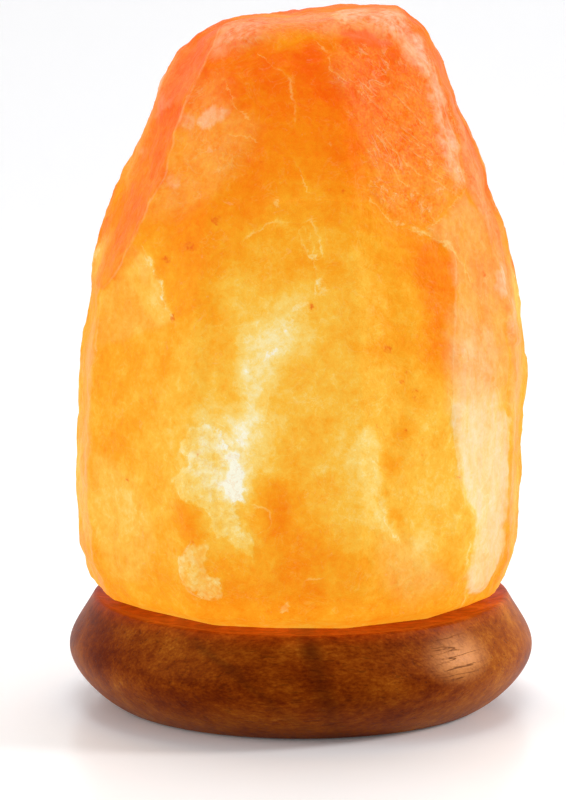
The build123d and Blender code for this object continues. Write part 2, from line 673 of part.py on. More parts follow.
pieces = {
    "wooden_base": wooden_base(),
    "rubber_feet": rubber_feet(),
    "salt_crystal": salt_crystal(),
    "crystal_screws": crystal_screws(),
    "crystal_washers": crystal_washers(),
    "crystal_anchors": crystal_anchors(),
    "holder_plate": holder_plate(),
    "holder_sleeve": holder_sleeve(),
    "sleeve_screws": sleeve_screws(),
    "holder_insert": holder_insert(),
    "holder_cup": holder_cup(),
    "cup_screw": cup_screw(),
    "screw_shell": screw_shell(),
    "side_terminal": side_terminal(),
    "centre_terminal": centre_terminal(),
    "terminal_blocks": terminal_blocks(),
    "terminal_screws": terminal_screws(),
    "centre_contact": centre_contact(),
    "clip_right": clip_right(),
    "clip_left": other_side(clip_right()),
    "clip_pins": clip_pins(),
    "clip_spring_right": clip_spring_right(),
    "clip_spring_left": other_side(clip_spring_right()),
    "bulb_tip": bulb_tip(),
    "bulb_insulator": bulb_insulator(),
    "bulb_cap": bulb_cap(),
    "bulb_glass": bulb_glass(),
    "bulb_stem": bulb_stem(),
    "bulb_wires": bulb_wires(),
    "bulb_filament": bulb_filament(),
}

os.makedirs("parts", exist_ok=True)
for name, piece in pieces.items():
    solid = Compound(children=piece) if isinstance(piece, list) else piece
    export_step(solid, f"parts/{name}.step")
    print(f"{name:18s} {solid.volume / 1000:9.3f} cm3")
print(f"joint places: clip pivot x {clip_pivot[0]:.2f} z {clip_pivot[1]:.2f}, "
      f"leaf pivot x {LEAF_PIVOT_X:.2f} z {leaf_root_z:.2f}, inlet z {inlet_z:.2f}, "
      f"bulb top {bulb_top:.2f}, cavity top {cavity_top:.2f}")
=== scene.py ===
# %% [markdown]
# # A lit salt crystal lamp
#
# The lamp is a lump of rock salt on a turned wooden base, with a small bulb in a bore up its middle.
# The construction is already there as a fixed frame of real-size pieces. What is made here is the
# look: the hewn, glowing salt, the oiled wood, and a finish for each metal, plastic and glass piece.
# Everything is in metres, with the middle of the base on the table at the origin.

# %% Load the frame
import math

import bpy
import numpy as np
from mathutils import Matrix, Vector, noise
from mathutils.bvhtree import BVHTree


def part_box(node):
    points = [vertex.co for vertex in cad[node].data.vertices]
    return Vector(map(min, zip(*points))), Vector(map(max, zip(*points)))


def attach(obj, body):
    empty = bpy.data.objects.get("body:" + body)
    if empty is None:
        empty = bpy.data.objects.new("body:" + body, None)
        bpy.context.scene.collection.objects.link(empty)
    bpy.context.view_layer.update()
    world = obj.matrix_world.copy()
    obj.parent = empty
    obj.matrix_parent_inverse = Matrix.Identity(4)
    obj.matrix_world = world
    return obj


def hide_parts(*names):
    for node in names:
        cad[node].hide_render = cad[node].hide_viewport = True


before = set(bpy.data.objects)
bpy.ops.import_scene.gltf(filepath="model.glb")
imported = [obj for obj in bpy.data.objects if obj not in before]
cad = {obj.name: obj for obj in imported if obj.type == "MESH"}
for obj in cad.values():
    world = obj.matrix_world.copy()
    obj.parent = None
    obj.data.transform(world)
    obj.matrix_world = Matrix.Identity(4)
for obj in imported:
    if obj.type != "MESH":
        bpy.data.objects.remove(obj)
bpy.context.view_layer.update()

MM = 0.001
print("pieces in the frame:", len(cad))

# %% [markdown]
# ## Camera
#
# A product photograph like this is taken from about a metre away with a long lens, looking slightly
# down, so that the base's ellipses stay flat. The camera stands a little left of the lamp's axis,
# which puts the lamp right of the middle of the frame.

# %% Place the camera
CAMERA_PLACE = Vector((-0.00507, -1.200, 0.2872))
AIM_HEIGHT = 0.0854
LENS = 193.9
SENSOR = 36.0
FRAME_SIZE = (566, 800)

camera_data = bpy.data.cameras.new("camera")
camera_data.lens = LENS
camera_data.sensor_width = SENSOR
camera = bpy.data.objects.new("camera", camera_data)
bpy.context.collection.objects.link(camera)
look = Vector((CAMERA_PLACE.x, 0, AIM_HEIGHT)) - CAMERA_PLACE
camera.location = CAMERA_PLACE
camera.rotation_euler = look.to_track_quat("-Z", "Y").to_euler()
bpy.context.scene.camera = camera
print("camera looks down by", round(math.degrees(math.atan2(-look.z, look.y)), 2), "degrees")

# %% The camera's own directions, for looking up places in the picture
PIXEL_FOCUS = LENS / SENSOR * max(FRAME_SIZE)
forward = look.normalized()
sideways = forward.cross(Vector((0, 0, 1))).normalized()
upwards = sideways.cross(forward)
print("one pixel on the lamp is about", round(CAMERA_PLACE.length / PIXEL_FOCUS / MM, 3), "mm")

# %% [markdown]
# ## Floor, backdrop and light
#
# The studio is a white sweep: floor and wall are one sheet that bends up behind the lamp. Soft lamps
# stand left, right and above, so the wood gets a broad sheen and the shadow stays a pale grey pool.
# More light would turn the sweep white too, but it would bleach the salt. So the sweep is whiter to the
# camera than to the light, has a little light of its own, and keeps the lamp's shadow. From behind and
# from below it can't be seen, so the lamp's back and underside stay in view.

# %% A small helper for node materials
class Recipe:
    """A material's node tree, written as short steps."""

    def __init__(self, name):
        self.material = bpy.data.materials.new(name)
        self.material.use_nodes = True
        self.tree = self.material.node_tree
        self.shader = self.tree.nodes["Principled BSDF"]
        self.output = self.tree.nodes["Material Output"]
        self.place = self.tree.nodes.new("ShaderNodeTexCoord").outputs["Object"]

    def add(self, kind, settings=None, **inputs):
        node = self.tree.nodes.new(kind)
        for key, value in (settings or {}).items():
            setattr(node, key, value)
        for key, value in inputs.items():
            self.feed(node.inputs[key.replace("_", " ")], value)
        return node

    def feed(self, socket, value):
        if isinstance(value, bpy.types.NodeSocket):
            self.tree.links.new(value, socket)
        else:
            socket.default_value = value

    def math(self, operation, first, second=0.0, third=0.0, clamp=False):
        node = self.add("ShaderNodeMath", {"operation": operation, "use_clamp": clamp})
        for socket, value in zip(node.inputs, (first, second, third)):
            self.feed(socket, value)
        return node.outputs[0]

    def times(self, first, second):
        return self.math("MULTIPLY", first, second)

    def times_plus(self, first, second, third, clamp=False):
        return self.math("MULTIPLY_ADD", first, second, third, clamp)

    def join(self, kind, first, second):
        """Two shaders, added or mixed."""
        node = self.add(kind)
        for socket, shader in zip(node.inputs[-2:], (first, second)):
            self.feed(socket, shader.outputs[0])
        return node

    def vectors(self, operation, *inputs):
        node = self.add("ShaderNodeVectorMath", {"operation": operation})
        for socket, value in zip(node.inputs, inputs):
            self.feed(socket, value)
        return node.outputs

    def axes(self):
        """The place on the piece, split into X, Y and Z."""
        return self.add("ShaderNodeSeparateXYZ", None, Vector=self.place).outputs

    def mark(self, name):
        """A value that is kept on the mesh."""
        return self.add("ShaderNodeAttribute", {"attribute_name": name}).outputs["Fac"]

    def noise(self, scale, detail=4.0, roughness=0.55, distortion=0.0, at=None):
        node = self.add("ShaderNodeTexNoise", None, Vector=at or self.place, Scale=scale,
                        Detail=detail, Roughness=roughness, Distortion=distortion)
        return node.outputs["Fac"]

    def spread(self, value, low, high, to_low=0.0, to_high=1.0, smooth=True):
        kind = {"interpolation_type": "SMOOTHSTEP" if smooth else "LINEAR"}
        node = self.add("ShaderNodeMapRange", kind, Value=value)
        for key, number in (("From Min", low), ("From Max", high), ("To Min", to_low),
                            ("To Max", to_high)):
            self.feed(node.inputs[key], number)
        return node.outputs["Result"]

    def stretch(self, scale=(1, 1, 1), turn=(0, 0, 0), shift=(0, 0, 0), at=None):
        node = self.add("ShaderNodeMapping", None, Vector=at or self.place, Location=shift,
                        Rotation=turn, Scale=scale)
        return node.outputs["Vector"]

    def aslant(self, angle, length):
        """Places for a noise drawn out along a line that falls to the right by the angle."""
        node = self.add("ShaderNodeMapping", {"vector_type": "TEXTURE"}, Vector=self.place,
                        Rotation=(0, math.radians(angle), 0), Scale=(length, 1, 1))
        return node.outputs["Vector"]

    def ramp(self, value, stops):
        node = self.add("ShaderNodeValToRGB", None, Fac=value)
        band = node.color_ramp
        while len(band.elements) < len(stops):
            band.elements.new(0.5)
        for element, (position, colour) in zip(band.elements, stops):
            element.position = position
            element.color = (*colour, 1)
        return node.outputs["Color"]

    def mix(self, amount, first, second, blend="MIX"):
        node = self.add("ShaderNodeMix", {"data_type": "RGBA", "blend_type": blend})
        for socket, value in zip((node.inputs[0], node.inputs[6], node.inputs[7]),
                                 (amount, first, second)):
            self.feed(socket, (*value, 1) if isinstance(value, tuple) and len(value) == 3 else value)
        return node.outputs[2]

    def bump(self, height, distance, strength=1.0, under=None):
        node = self.add("ShaderNodeBump", None, Height=height, Distance=distance, Strength=strength)
        if under is not None:
            self.feed(node.inputs["Normal"], under)
        return node.outputs["Normal"]

    def surface(self, **inputs):
        for key, value in inputs.items():
            if isinstance(value, tuple) and len(value) == 3:
                value = (*value, 1)
            self.feed(self.shader.inputs[key.replace("_", " ")], value)
        return self.material


# %% The white sweep
SWEEP_HALF_WIDTH = 3.0
SWEEP_FRONT = -1.6
SWEEP_BEND = 1.5
SWEEP_RADIUS = 0.5
SWEEP_TOP = 2.2
BEND_STEPS = 16


def deselect_all():
    bpy.ops.object.select_all(action="DESELECT")


deselect_all()
depth_half = (SWEEP_BEND - SWEEP_FRONT) / 2
bpy.ops.mesh.primitive_plane_add(size=2, location=(0, SWEEP_FRONT + depth_half, 0))
sweep = bpy.context.active_object
sweep.name = "sweep"
sweep.scale = (SWEEP_HALF_WIDTH, depth_half, 1)
bpy.ops.object.transform_apply(location=True, scale=True)
bpy.ops.object.mode_set(mode="EDIT")
bpy.ops.mesh.select_all(action="DESELECT")
bpy.ops.object.mode_set(mode="OBJECT")
for edge in sweep.data.edges:
    edge.select = all(sweep.data.vertices[v].co.y > SWEEP_BEND - MM for v in edge.vertices)
bpy.ops.object.mode_set(mode="EDIT")
bpy.ops.mesh.select_mode(type="EDGE")
bpy.ops.mesh.extrude_region_move(TRANSFORM_OT_translate={"value": (0, 0, SWEEP_TOP)})
bpy.ops.object.mode_set(mode="OBJECT")
for edge in sweep.data.edges:
    ends = [sweep.data.vertices[v].co for v in edge.vertices]
    edge.select = all(end.y > SWEEP_BEND - MM and end.z < MM for end in ends)
bpy.ops.object.mode_set(mode="EDIT")
bpy.ops.mesh.bevel(offset=SWEEP_RADIUS, segments=BEND_STEPS, affect="EDGES")
bpy.ops.mesh.select_all(action="SELECT")
bpy.ops.mesh.normals_make_consistent(inside=True)
bpy.ops.object.mode_set(mode="OBJECT")
bpy.ops.object.shade_smooth()
if sweep.data.polygons[0].normal.z < 0:
    sweep.data.flip_normals()
print("sweep faces:", len(sweep.data.polygons))

# %% Paper that is white to the camera
paper = Recipe("white_paper")
ray_kind = paper.add("ShaderNodeLightPath")
direct = paper.math("MAXIMUM", ray_kind.outputs["Is Camera Ray"], ray_kind.outputs["Is Glossy Ray"])
direct = paper.math("MAXIMUM", direct, ray_kind.outputs["Is Transmission Ray"])
paper.surface(Base_Color=paper.mix(direct, (0.80, 0.80, 0.82), (0.99, 0.99, 1.0)), Roughness=0.28,
              Specular_IOR_Level=0.40)
own_light = paper.add("ShaderNodeEmission", None, Color=(1.0, 1.0, 1.0, 1),
                      Strength=paper.times(direct, 0.05))
both = paper.join("ShaderNodeAddShader", paper.shader, own_light)
behind = paper.add("ShaderNodeNewGeometry").outputs["Backfacing"]
one_sided = paper.join("ShaderNodeMixShader", both, paper.add("ShaderNodeBsdfTransparent"))
paper.feed(one_sided.inputs[0], behind)
paper.feed(paper.output.inputs["Surface"], one_sided.outputs[0])
sweep.data.materials.append(paper.material)
print("paper recipe:", len(paper.tree.nodes), "nodes")

# %% The lamps of the studio
def soft_lamp(name, place, aim, width, height, watts, colour=(1, 1, 1)):
    """A rectangular softbox that faces a point."""
    data = bpy.data.lights.new(name, "AREA")
    data.shape = "RECTANGLE"
    data.size = width
    data.size_y = height
    data.energy = watts
    data.color = colour
    lamp = bpy.data.objects.new(name, data)
    lamp.location = place
    lamp.rotation_euler = (Vector(aim) - Vector(place)).to_track_quat("-Z", "Y").to_euler()
    bpy.context.collection.objects.link(lamp)
    return lamp


LAMP_MIDDLE = (0, 0, 0.09)
soft_lamp("right_softbox", (1.11, 0.02, 0.56), LAMP_MIDDLE, 0.24, 0.30, 9.0)
soft_lamp("left_softbox", (-1.10, -0.55, 0.60), LAMP_MIDDLE, 0.8, 0.9, 6.0)
soft_lamp("top_softbox", (0.0, 0.50, 1.30), LAMP_MIDDLE, 1.0, 0.7, 10.0)

world = bpy.data.worlds.new("studio")
bpy.context.scene.world = world
world.use_nodes = True
sky = world.node_tree.nodes["Background"]
sky.inputs["Color"].default_value = (1, 1, 1, 1)
sky.inputs["Strength"].default_value = 0.46
bpy.context.scene.view_settings.view_transform = "Standard"

# %% [markdown]
# ## The salt crystal: shape
#
# Rock salt is split from the seam and dressed with a hammer, so it is a lump with broad, slightly
# hollow faces, blunt ridges and small chips. The frame has its main faces. A copy of that solid is
# chipped with plane cuts and turned into an even skin with a voxel remesh, because hammer scars,
# cracks and crusts all need points close together. Those are then pressed into the skin.

# %% Copy the crystal from the frame
def copy_from_frame(node, name):
    """A loose copy of a frame piece, merged into one closed skin."""
    mesh = cad[node].data.copy()
    mesh.materials.clear()
    piece = bpy.data.objects.new(name, mesh)
    bpy.context.collection.objects.link(piece)
    deselect_all()
    piece.select_set(True)
    bpy.context.view_layer.objects.active = piece
    bpy.ops.object.mode_set(mode="EDIT")
    bpy.ops.mesh.select_all(action="SELECT")
    bpy.ops.mesh.remove_doubles(threshold=1e-6)
    bpy.ops.object.mode_set(mode="OBJECT")
    return piece


crystal = copy_from_frame("salt_crystal", "hewn_salt")
seat_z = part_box("salt_crystal")[0][2]
crown_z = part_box("salt_crystal")[1][2]
print("crystal from", round(seat_z / MM, 1), "to", round(crown_z / MM, 1), "mm")

# %% Knock off chips at the back
# direction and slope of the cut in degrees, then height and distance from the axis in mm
CHIPS = [
    (32, 8, 118, 61.5), (60, -12, 52, 60.5), (88, 30, 158, 46), (108, 6, 84, 61),
    (152, 12, 100, 61), (130, 26, 150, 48), (72, 4, 90, 60), (48, 34, 168, 42),
]


def chip(direction, slope, height, distance):
    """Cuts the selected mesh along a plane and closes the cut."""
    turn = math.radians(direction)
    lean = math.radians(slope)
    outward = (math.cos(lean) * math.cos(turn), math.cos(lean) * math.sin(turn), math.sin(lean))
    on_cut = (distance * MM * math.cos(turn), distance * MM * math.sin(turn), height * MM)
    bpy.ops.mesh.select_all(action="SELECT")
    bpy.ops.mesh.bisect(plane_co=on_cut, plane_no=outward, use_fill=True, clear_outer=True)


bpy.ops.object.mode_set(mode="EDIT")
for cut in CHIPS:
    chip(*cut)
bpy.ops.object.mode_set(mode="OBJECT")
print("faces after", len(CHIPS), "chips:", len(crystal.data.polygons))

# %% Turn it into an even skin
SKIN_VOXEL = 1.06 * MM


def apply_modifier(piece, kind, **settings):
    bpy.context.view_layer.objects.active = piece
    modifier = piece.modifiers.new(kind.lower(), kind)
    for key, value in settings.items():
        setattr(modifier, key, value)
    bpy.ops.object.modifier_apply(modifier=modifier.name)


apply_modifier(crystal, "REMESH", mode="VOXEL", voxel_size=SKIN_VOXEL, use_smooth_shade=True)
apply_modifier(crystal, "SMOOTH", factor=0.5, iterations=1)
print("skin vertices:", len(crystal.data.vertices), "faces:", len(crystal.data.polygons))

# %% Read and write the skin as arrays
def skin_points(mesh):
    flat = np.empty(len(mesh.vertices) * 3)
    mesh.vertices.foreach_get("co", flat)
    return flat.reshape(-1, 3)


def skin_normals(mesh):
    flat = np.empty(len(mesh.vertices) * 3, dtype=np.float32)
    mesh.vertices.foreach_get("normal", flat)
    return flat.reshape(-1, 3).astype(float)


def put_skin(mesh, points):
    mesh.vertices.foreach_set("co", points.reshape(-1))
    mesh.update()


def smoothstep(low, high, value):
    share = np.clip((value - low) / (high - low), 0, 1)
    return share * share * (3 - 2 * share)


CAVITY_RADIUS = 26.5 * MM
CAVITY_TOP = 105.3 * MM
ANCHORS_RADIUS = 42 * MM
ANCHORS_TOP = 51 * MM
SEAT_STILL = 0.5 * MM    # the skin below this height over the seat doesn't move
SEAT_FREE = 7 * MM       # and above this height it moves in full
skin = skin_points(crystal.data)
axis_distance = np.hypot(skin[:, 0], skin[:, 1])
inside = (axis_distance < CAVITY_RADIUS) & (skin[:, 2] < CAVITY_TOP)
inside |= (axis_distance < ANCHORS_RADIUS) & (skin[:, 2] < ANCHORS_TOP)
free = np.where(inside, 0.0, smoothstep(seat_z + SEAT_STILL, seat_z + SEAT_FREE, skin[:, 2]))
print("outer share of the skin:", round(float((free > 0).mean()), 2))

# %% [markdown]
# ## Placing marks on the crystal
#
# Ridges, cracks, crusts and frosted faces are given as lines and outlines in the picture.
# Each skin point is looked up in that picture, so a mark lies on the surface and not in the air.
# The sides that the picture doesn't show are looked at in the same way, from two more directions,
# one of them mirrored, and so they are as rich in marks as the front.

# %% Where each skin point shows
FRONT_EDGE = 80.0        # degrees round from the viewer where the front view gives way
BACK_SEAM = 181.0        # degrees where the two other views meet
VIEW_FADE = 8.0
# turn in degrees, whether the picture is mirrored, and how far it is raised in mm
VIEWS = [(0.0, False, 0.0), (131.0, False, -8.0), (-130.0, True, 6.0)]


def picture_places(points, view):
    """Places of the points in the picture, in pixels, seen from one of the views."""
    turn, mirrored, rise = view
    back = math.radians(-turn)
    x = points[:, 0] * math.cos(back) - points[:, 1] * math.sin(back)
    y = points[:, 0] * math.sin(back) + points[:, 1] * math.cos(back)
    if mirrored:
        x = -x
    away = np.stack([x, y, points[:, 2] - rise * MM], axis=1) - np.array(CAMERA_PLACE)
    depth = away @ np.array(forward)
    across = away @ np.array(sideways) / depth * PIXEL_FOCUS + FRAME_SIZE[0] / 2
    down = FRAME_SIZE[1] / 2 - away @ np.array(upwards) / depth * PIXEL_FOCUS
    return np.stack([across, down], axis=1)


def view_shares(points):
    """How much each view counts at each point; the shares add up to 1."""
    round_about = np.degrees(np.arctan2(points[:, 0], -points[:, 1]))
    front = 1 - smoothstep(FRONT_EDGE - VIEW_FADE, FRONT_EDGE + VIEW_FADE, np.abs(round_about))
    past_seam = smoothstep(BACK_SEAM - VIEW_FADE, BACK_SEAM + VIEW_FADE, round_about % 360)
    return [front, (1 - front) * (1 - past_seam), (1 - front) * past_seam]


shares = view_shares(skin)
print("share of the skin per view:", [round(float(s.mean()), 2) for s in shares])

# %% Shapes in the picture
def line_offset(places, chain):
    """Distance in pixels from a line of straight runs, and on which side it lies."""
    nearest = np.full(len(places), 1e3)
    side = np.ones(len(places))
    for start, end in zip(chain[:-1], chain[1:]):
        start = np.array(start, float)
        run = np.array(end, float) - start
        away = places - start
        share = np.clip(away @ run / (run @ run), 0, 1)
        gap = np.linalg.norm(away - share[:, None] * run, axis=1)
        turn = np.sign(away[:, 0] * run[1] - away[:, 1] * run[0])
        closer = gap < nearest
        nearest = np.where(closer, gap, nearest)
        side = np.where(closer, turn, side)
    return nearest, side


def inside_outline(places, outline):
    """Distance in pixels to a closed outline, positive inside."""
    gap, _ = line_offset(places, [*outline, outline[0]])
    x, y = places[:, 0], places[:, 1]
    within = np.zeros(len(places), bool)
    for (x0, y0), (x1, y1) in zip(outline, [*outline[1:], outline[0]]):
        if y0 != y1:
            crosses = (y0 > y) != (y1 > y)
            within ^= crosses & (x < x0 + (y - y0) / (y1 - y0) * (x1 - x0))
    return np.where(within, gap, -gap)


def inside_discs(places, chain):
    """Depth in pixels inside a chain of discs that are joined up, negative outside."""
    best = np.full(len(places), -1e3)
    joined = zip(chain[:-1], chain[1:]) if len(chain) > 1 else [(chain[0], chain[0])]
    for (x0, y0, r0), (x1, y1, r1) in joined:
        start = np.array((x0, y0), float)
        run = np.array((x1, y1), float) - start
        away = places - start
        share = np.clip(away @ run / max(run @ run, 1e-9), 0, 1)
        gap = np.linalg.norm(away - share[:, None] * run, axis=1)
        best = np.maximum(best, r0 + (r1 - r0) * share - gap)
    return best


# %% Faces of the crystal, as outlines in the picture
WEDGE_EDGE = [(145, 250), (152, 265), (162, 280), (166, 295), (170, 310), (174, 318)]
FACES = {
    "left, above": [(219, 29), (216, 46), (200, 78), (192, 95), (186, 108), (150, 108), (160, 84),
                    (172, 56), (190, 38), (208, 26)],
    "left": [(186, 108), (179, 130), (168, 172), (161, 188), (146, 217), (132, 245), (115, 275),
             (105, 288), (92, 288), (95, 252), (109, 204), (131, 156), (150, 108)],
    "wedge": [*WEDGE_EDGE, (150, 332), (120, 344), (99, 350), (102, 312), (105, 288), (115, 275),
              (132, 245)],
    "brow": [(222, 24), (240, 16), (300, 8), (345, 4), (398, 6), (414, 26), (404, 30), (390, 44),
             (366, 38), (345, 32), (330, 35), (310, 30), (285, 30), (268, 36), (250, 46), (236, 52),
             (222, 46)],
    "upper left": [(200, 78), (224, 77), (231, 90), (236, 107), (247, 116), (258, 130), (255, 142),
                   (240, 160), (215, 190), (180, 215), (146, 217), (161, 188), (174, 150), (186, 108)],
    "rough": [(331, 69), (345, 36), (366, 40), (390, 48), (404, 66), (421, 66), (436, 100), (449, 150),
              (456, 180), (440, 218), (420, 228), (396, 224), (372, 196), (365, 150), (350, 110)],
    "right ridge": [(404, 28), (417, 34), (432, 57), (448, 96), (459, 147), (466, 191), (456, 198),
                    (449, 150), (436, 100), (421, 66)],
    "right, above": [(434, 50), (448, 92), (460, 146), (467, 190), (480, 214), (492, 250), (502, 300),
                     (508, 345), (524, 345), (512, 255), (496, 205), (478, 150), (452, 90)],
    "triangle": [(423, 231), (441, 220), (461, 193), (480, 214), (492, 250), (502, 300), (506, 345),
                 (506, 385), (494, 386), (470, 370), (453, 366), (454, 296), (452, 278), (443, 247)],
    "pale": [(452, 404), (451, 415), (455, 445), (460, 475), (463, 503), (472, 512), (475, 530),
             (472, 552), (463, 590), (480, 590), (500, 560), (504, 530), (506, 495), (505, 462),
             (508, 421), (501, 407), (494, 390), (474, 398)],
    "lower left": [(92, 452), (112, 456), (134, 480), (148, 512), (156, 550), (140, 580), (116, 575),
                   (100, 540), (92, 500)],
    "front": [(182, 225), (240, 200), (330, 200), (368, 205), (395, 232), (430, 240), (448, 280),
              (448, 400), (450, 470), (440, 560), (330, 585), (200, 560), (160, 480), (150, 400),
              (176, 322)],
}
FLATTENING = {"left, above": 0.8, "left": 0.9, "wedge": 0.9, "brow": 0.6, "upper left": 0.7,
              "rough": 0.6, "right ridge": 0.5, "right, above": 0.8, "triangle": 0.8, "pale": 0.9,
              "lower left": 0.6, "front": 0.35}
MOST_MOVED = 1.6 * MM
FEWEST_POINTS = 50


def flatten(points, view, share, outline, amount):
    """Moves the points of one face towards the plane that fits them best."""
    depth = inside_outline(picture_places(points, view), outline)
    weight = amount * smoothstep(-1.5, 4, depth) * share * (free > 0)
    core = (depth > 0) & (share > 0.5) & (free > 0)
    if core.sum() < FEWEST_POINTS:
        return points
    middle = points[core].mean(axis=0)
    normal = np.linalg.svd(points[core] - middle, full_matrices=False)[2][2]
    off = np.clip((points - middle) @ normal, -MOST_MOVED, MOST_MOVED)
    return points - normal * (off * weight * free)[:, None]


before = skin.copy()
for view, share in zip(VIEWS, shares):
    for face, amount in FLATTENING.items():
        skin = flatten(skin, view, share, FACES[face], amount)
put_skin(crystal.data, skin)
moved = np.linalg.norm(skin - before, axis=1) / MM
print("faces flattened by", round(float(moved.mean()), 2), "mm on average, at most",
      round(float(moved.max()), 2))

# %% Ragged edges: the picture places wander a little
def wander(points, scale, reach):
    """A smooth random shift in two directions, in pixels."""
    shift = [noise.noise_vector(Vector(p) * scale) for p in points]
    return np.array(shift)[:, :2] * reach


LARGE_WANDER = 110       # how many bends per metre, and how far they reach in pixels
LARGE_REACH = 5.0
SMALL_WANDER = 330
SMALL_REACH = 3.5
WANDER_SEED = 5          # without a seed, noise_vector gives other values in each run
HIDE = 40.0              # pixels by which a mark shrinks where its view doesn't count

noise.seed_set(WANDER_SEED)
ragged = wander(skin, LARGE_WANDER, LARGE_REACH) + wander(skin + 0.5, SMALL_WANDER, SMALL_REACH)
flat_places = [picture_places(skin, view) for view in VIEWS]


def bent_places(share_of_wander):
    """Places in each view's picture, with a share of the wander."""
    return [places + share_of_wander * ragged for places in flat_places]


seen = bent_places(1.0)
straight = bent_places(0.35)


def deepest(all_places, marks, measure):
    """The largest depth over all marks and views."""
    best = np.full(len(skin), -1e3)
    for places, share in zip(all_places, shares):
        for mark in marks:
            best = np.maximum(best, measure(places, mark) - HIDE * (1 - share))
    return best


# %% Ridges between faces, and veins that run through the salt
RIDGES = [
    [(219, 29), (216, 46), (200, 78), (186, 108), (179, 130), (174, 150), (168, 172), (161, 188),
     (146, 217), (132, 245), (115, 275), (104, 288), (101, 300), (99, 330), (97, 350)],
    [(452, 262), (453, 290), (453, 325), (452, 360), (452, 400), (451, 415), (454, 445), (458, 475),
     (462, 503), (471, 514), (474, 530), (471, 552), (465, 580), (460, 605)],
    [(494, 386), (501, 407), (508, 421), (507, 440), (505, 462), (506, 495), (504, 530), (502, 556)],
    [(431, 62), (438, 92), (447, 117), (453, 140), (459, 172), (463, 186)],
    [(190, 545), (184, 560), (183, 574), (190, 590), (202, 598), (216, 599), (221, 586)],
]
VEINS = [
    WEDGE_EDGE,
    [(315, 40), (322, 50), (330, 57), (331, 69), (345, 82), (357, 92), (373, 96)],
    [(262, 58), (272, 68), (281, 75), (291, 81), (292, 92), (294, 106), (295, 120)],
    [(224, 77), (229, 84), (231, 90), (233, 99), (236, 107), (243, 112), (247, 116)],
    [(230, 136), (243, 138), (255, 142)],
    [(296, 162), (300, 172), (302, 182), (306, 190)],
    [(245, 240), (250, 236), (257, 232), (264, 226), (270, 223), (285, 221), (300, 224), (311, 220)],
    [(300, 226), (301, 236), (301, 245), (308, 254), (314, 260), (317, 273), (316, 294)],
    [(311, 222), (318, 240), (322, 256)],
    [(370, 200), (376, 208), (382, 214), (389, 223), (395, 229), (408, 231), (420, 232), (431, 237),
     (443, 247), (456, 259), (463, 270), (471, 283)],
    [(422, 230), (432, 225), (440, 220), (448, 212), (453, 205), (461, 193)],
    [(257, 506), (264, 508), (268, 512), (271, 520), (268, 528), (260, 531)],
    [(381, 507), (387, 524), (397, 538)],
    [(304, 582), (310, 578), (320, 577)],
    [(392, 150), (400, 156), (406, 164), (416, 172), (428, 178), (440, 186)],
    [(388, 164), (396, 172), (400, 181), (410, 186), (420, 194)],
    [(468, 545), (463, 572), (460, 600)],
]


def line_marks(lines, all_places, reach):
    """Signed distance to the nearest line, and a mask of the points beside one."""
    nearest = np.full(len(skin), 1e3)
    side_of = np.ones(len(skin))
    for places, share in zip(all_places, shares):
        for chain in lines:
            gap, side = line_offset(places, chain)
            gap = gap + HIDE * (1 - share)
            closer = gap < nearest
            nearest = np.where(closer, gap, nearest)
            side_of = np.where(closer, side, side_of)
    return nearest * side_of, 1 - smoothstep(0.6 * reach, reach, nearest)


LINE_REACH = 7.0
ridge_px, by_ridge = line_marks(RIDGES, bent_places(0.15), LINE_REACH)
vein_px, by_vein = line_marks(VEINS, straight, LINE_REACH)
print("points beside a ridge:", int((by_ridge > 0).sum()), "a vein:", int((by_vein > 0).sum()))

# %% Crusts and specks
HOT_OUTLINES = [
    [(187, 437), (190, 428), (197, 426), (210, 422), (220, 427), (225, 440), (230, 449), (240, 451),
     (243, 465), (246, 480), (249, 495), (246, 502), (234, 505), (230, 515), (236, 526), (250, 541),
     (258, 552), (257, 561), (246, 552), (230, 541), (217, 538), (210, 530), (209, 519), (206, 508),
     (195, 506), (184, 498), (178, 488), (178, 478), (184, 466), (190, 460), (182, 452), (181, 443)],
]
WHITE_OUTLINES = [
    [(234, 464), (240, 468), (241, 480), (243, 494), (236, 497), (230, 490), (231, 476)],
]
PALE_OUTLINES = [
    [(190, 545), (207, 542), (212, 547), (208, 560), (211, 575), (221, 586), (219, 599), (202, 599),
     (191, 591), (184, 580), (182, 570), (183, 556)],
    [(278, 604), (283, 601), (285, 606), (287, 611), (280, 610)],
]
PALE_DISCS = [
    [(314, 258, 2.5), (318, 264, 2)], [(318, 280, 2), (324, 292, 2)], [(300, 306, 3), (312, 300, 2)],
    [(357, 91, 3)], [(386, 86, 2)], [(338, 19, 4), (346, 21, 2)], [(283, 330, 2), (292, 318, 2)],
    [(276, 200, 2.5), (279, 206, 2)], [(262, 366, 2), (276, 348, 2)], [(331, 142, 2)], [(486, 550, 3)],
    [(146, 252, 0.6), (153, 266, 1.2), (162, 281, 0.8), (167, 298, 1.4), (173, 316, 0.6)],
    [(389, 223, 0.3), (408, 231, 1.0), (431, 237, 0.6), (443, 247, 1.2), (463, 270, 0.4)],
]
SPECKS = [
    (387, 350, 4.5), (401, 382, 2.6), (407, 374, 2.2), (414, 389, 2.2), (414, 399, 2.4), (110, 237, 2.6),
    (117, 242, 2.2), (190, 246, 5.0), (168, 259, 4.0), (217, 221, 5.0), (174, 318, 3.0),
    (199, 452, 2.4), (377, 425, 2.4), (192, 541, 2.4), (457, 478, 2.4), (344, 192, 2.4),
    (262, 163, 2.0), (130, 480, 2.0), (300, 120, 2.0), (482, 275, 3.0), (420, 455, 2.0),
    (470, 180, 4.0), (404, 430, 2.0), (312, 306, 3.0), (390, 70, 3.0), (350, 30, 3.0),
]

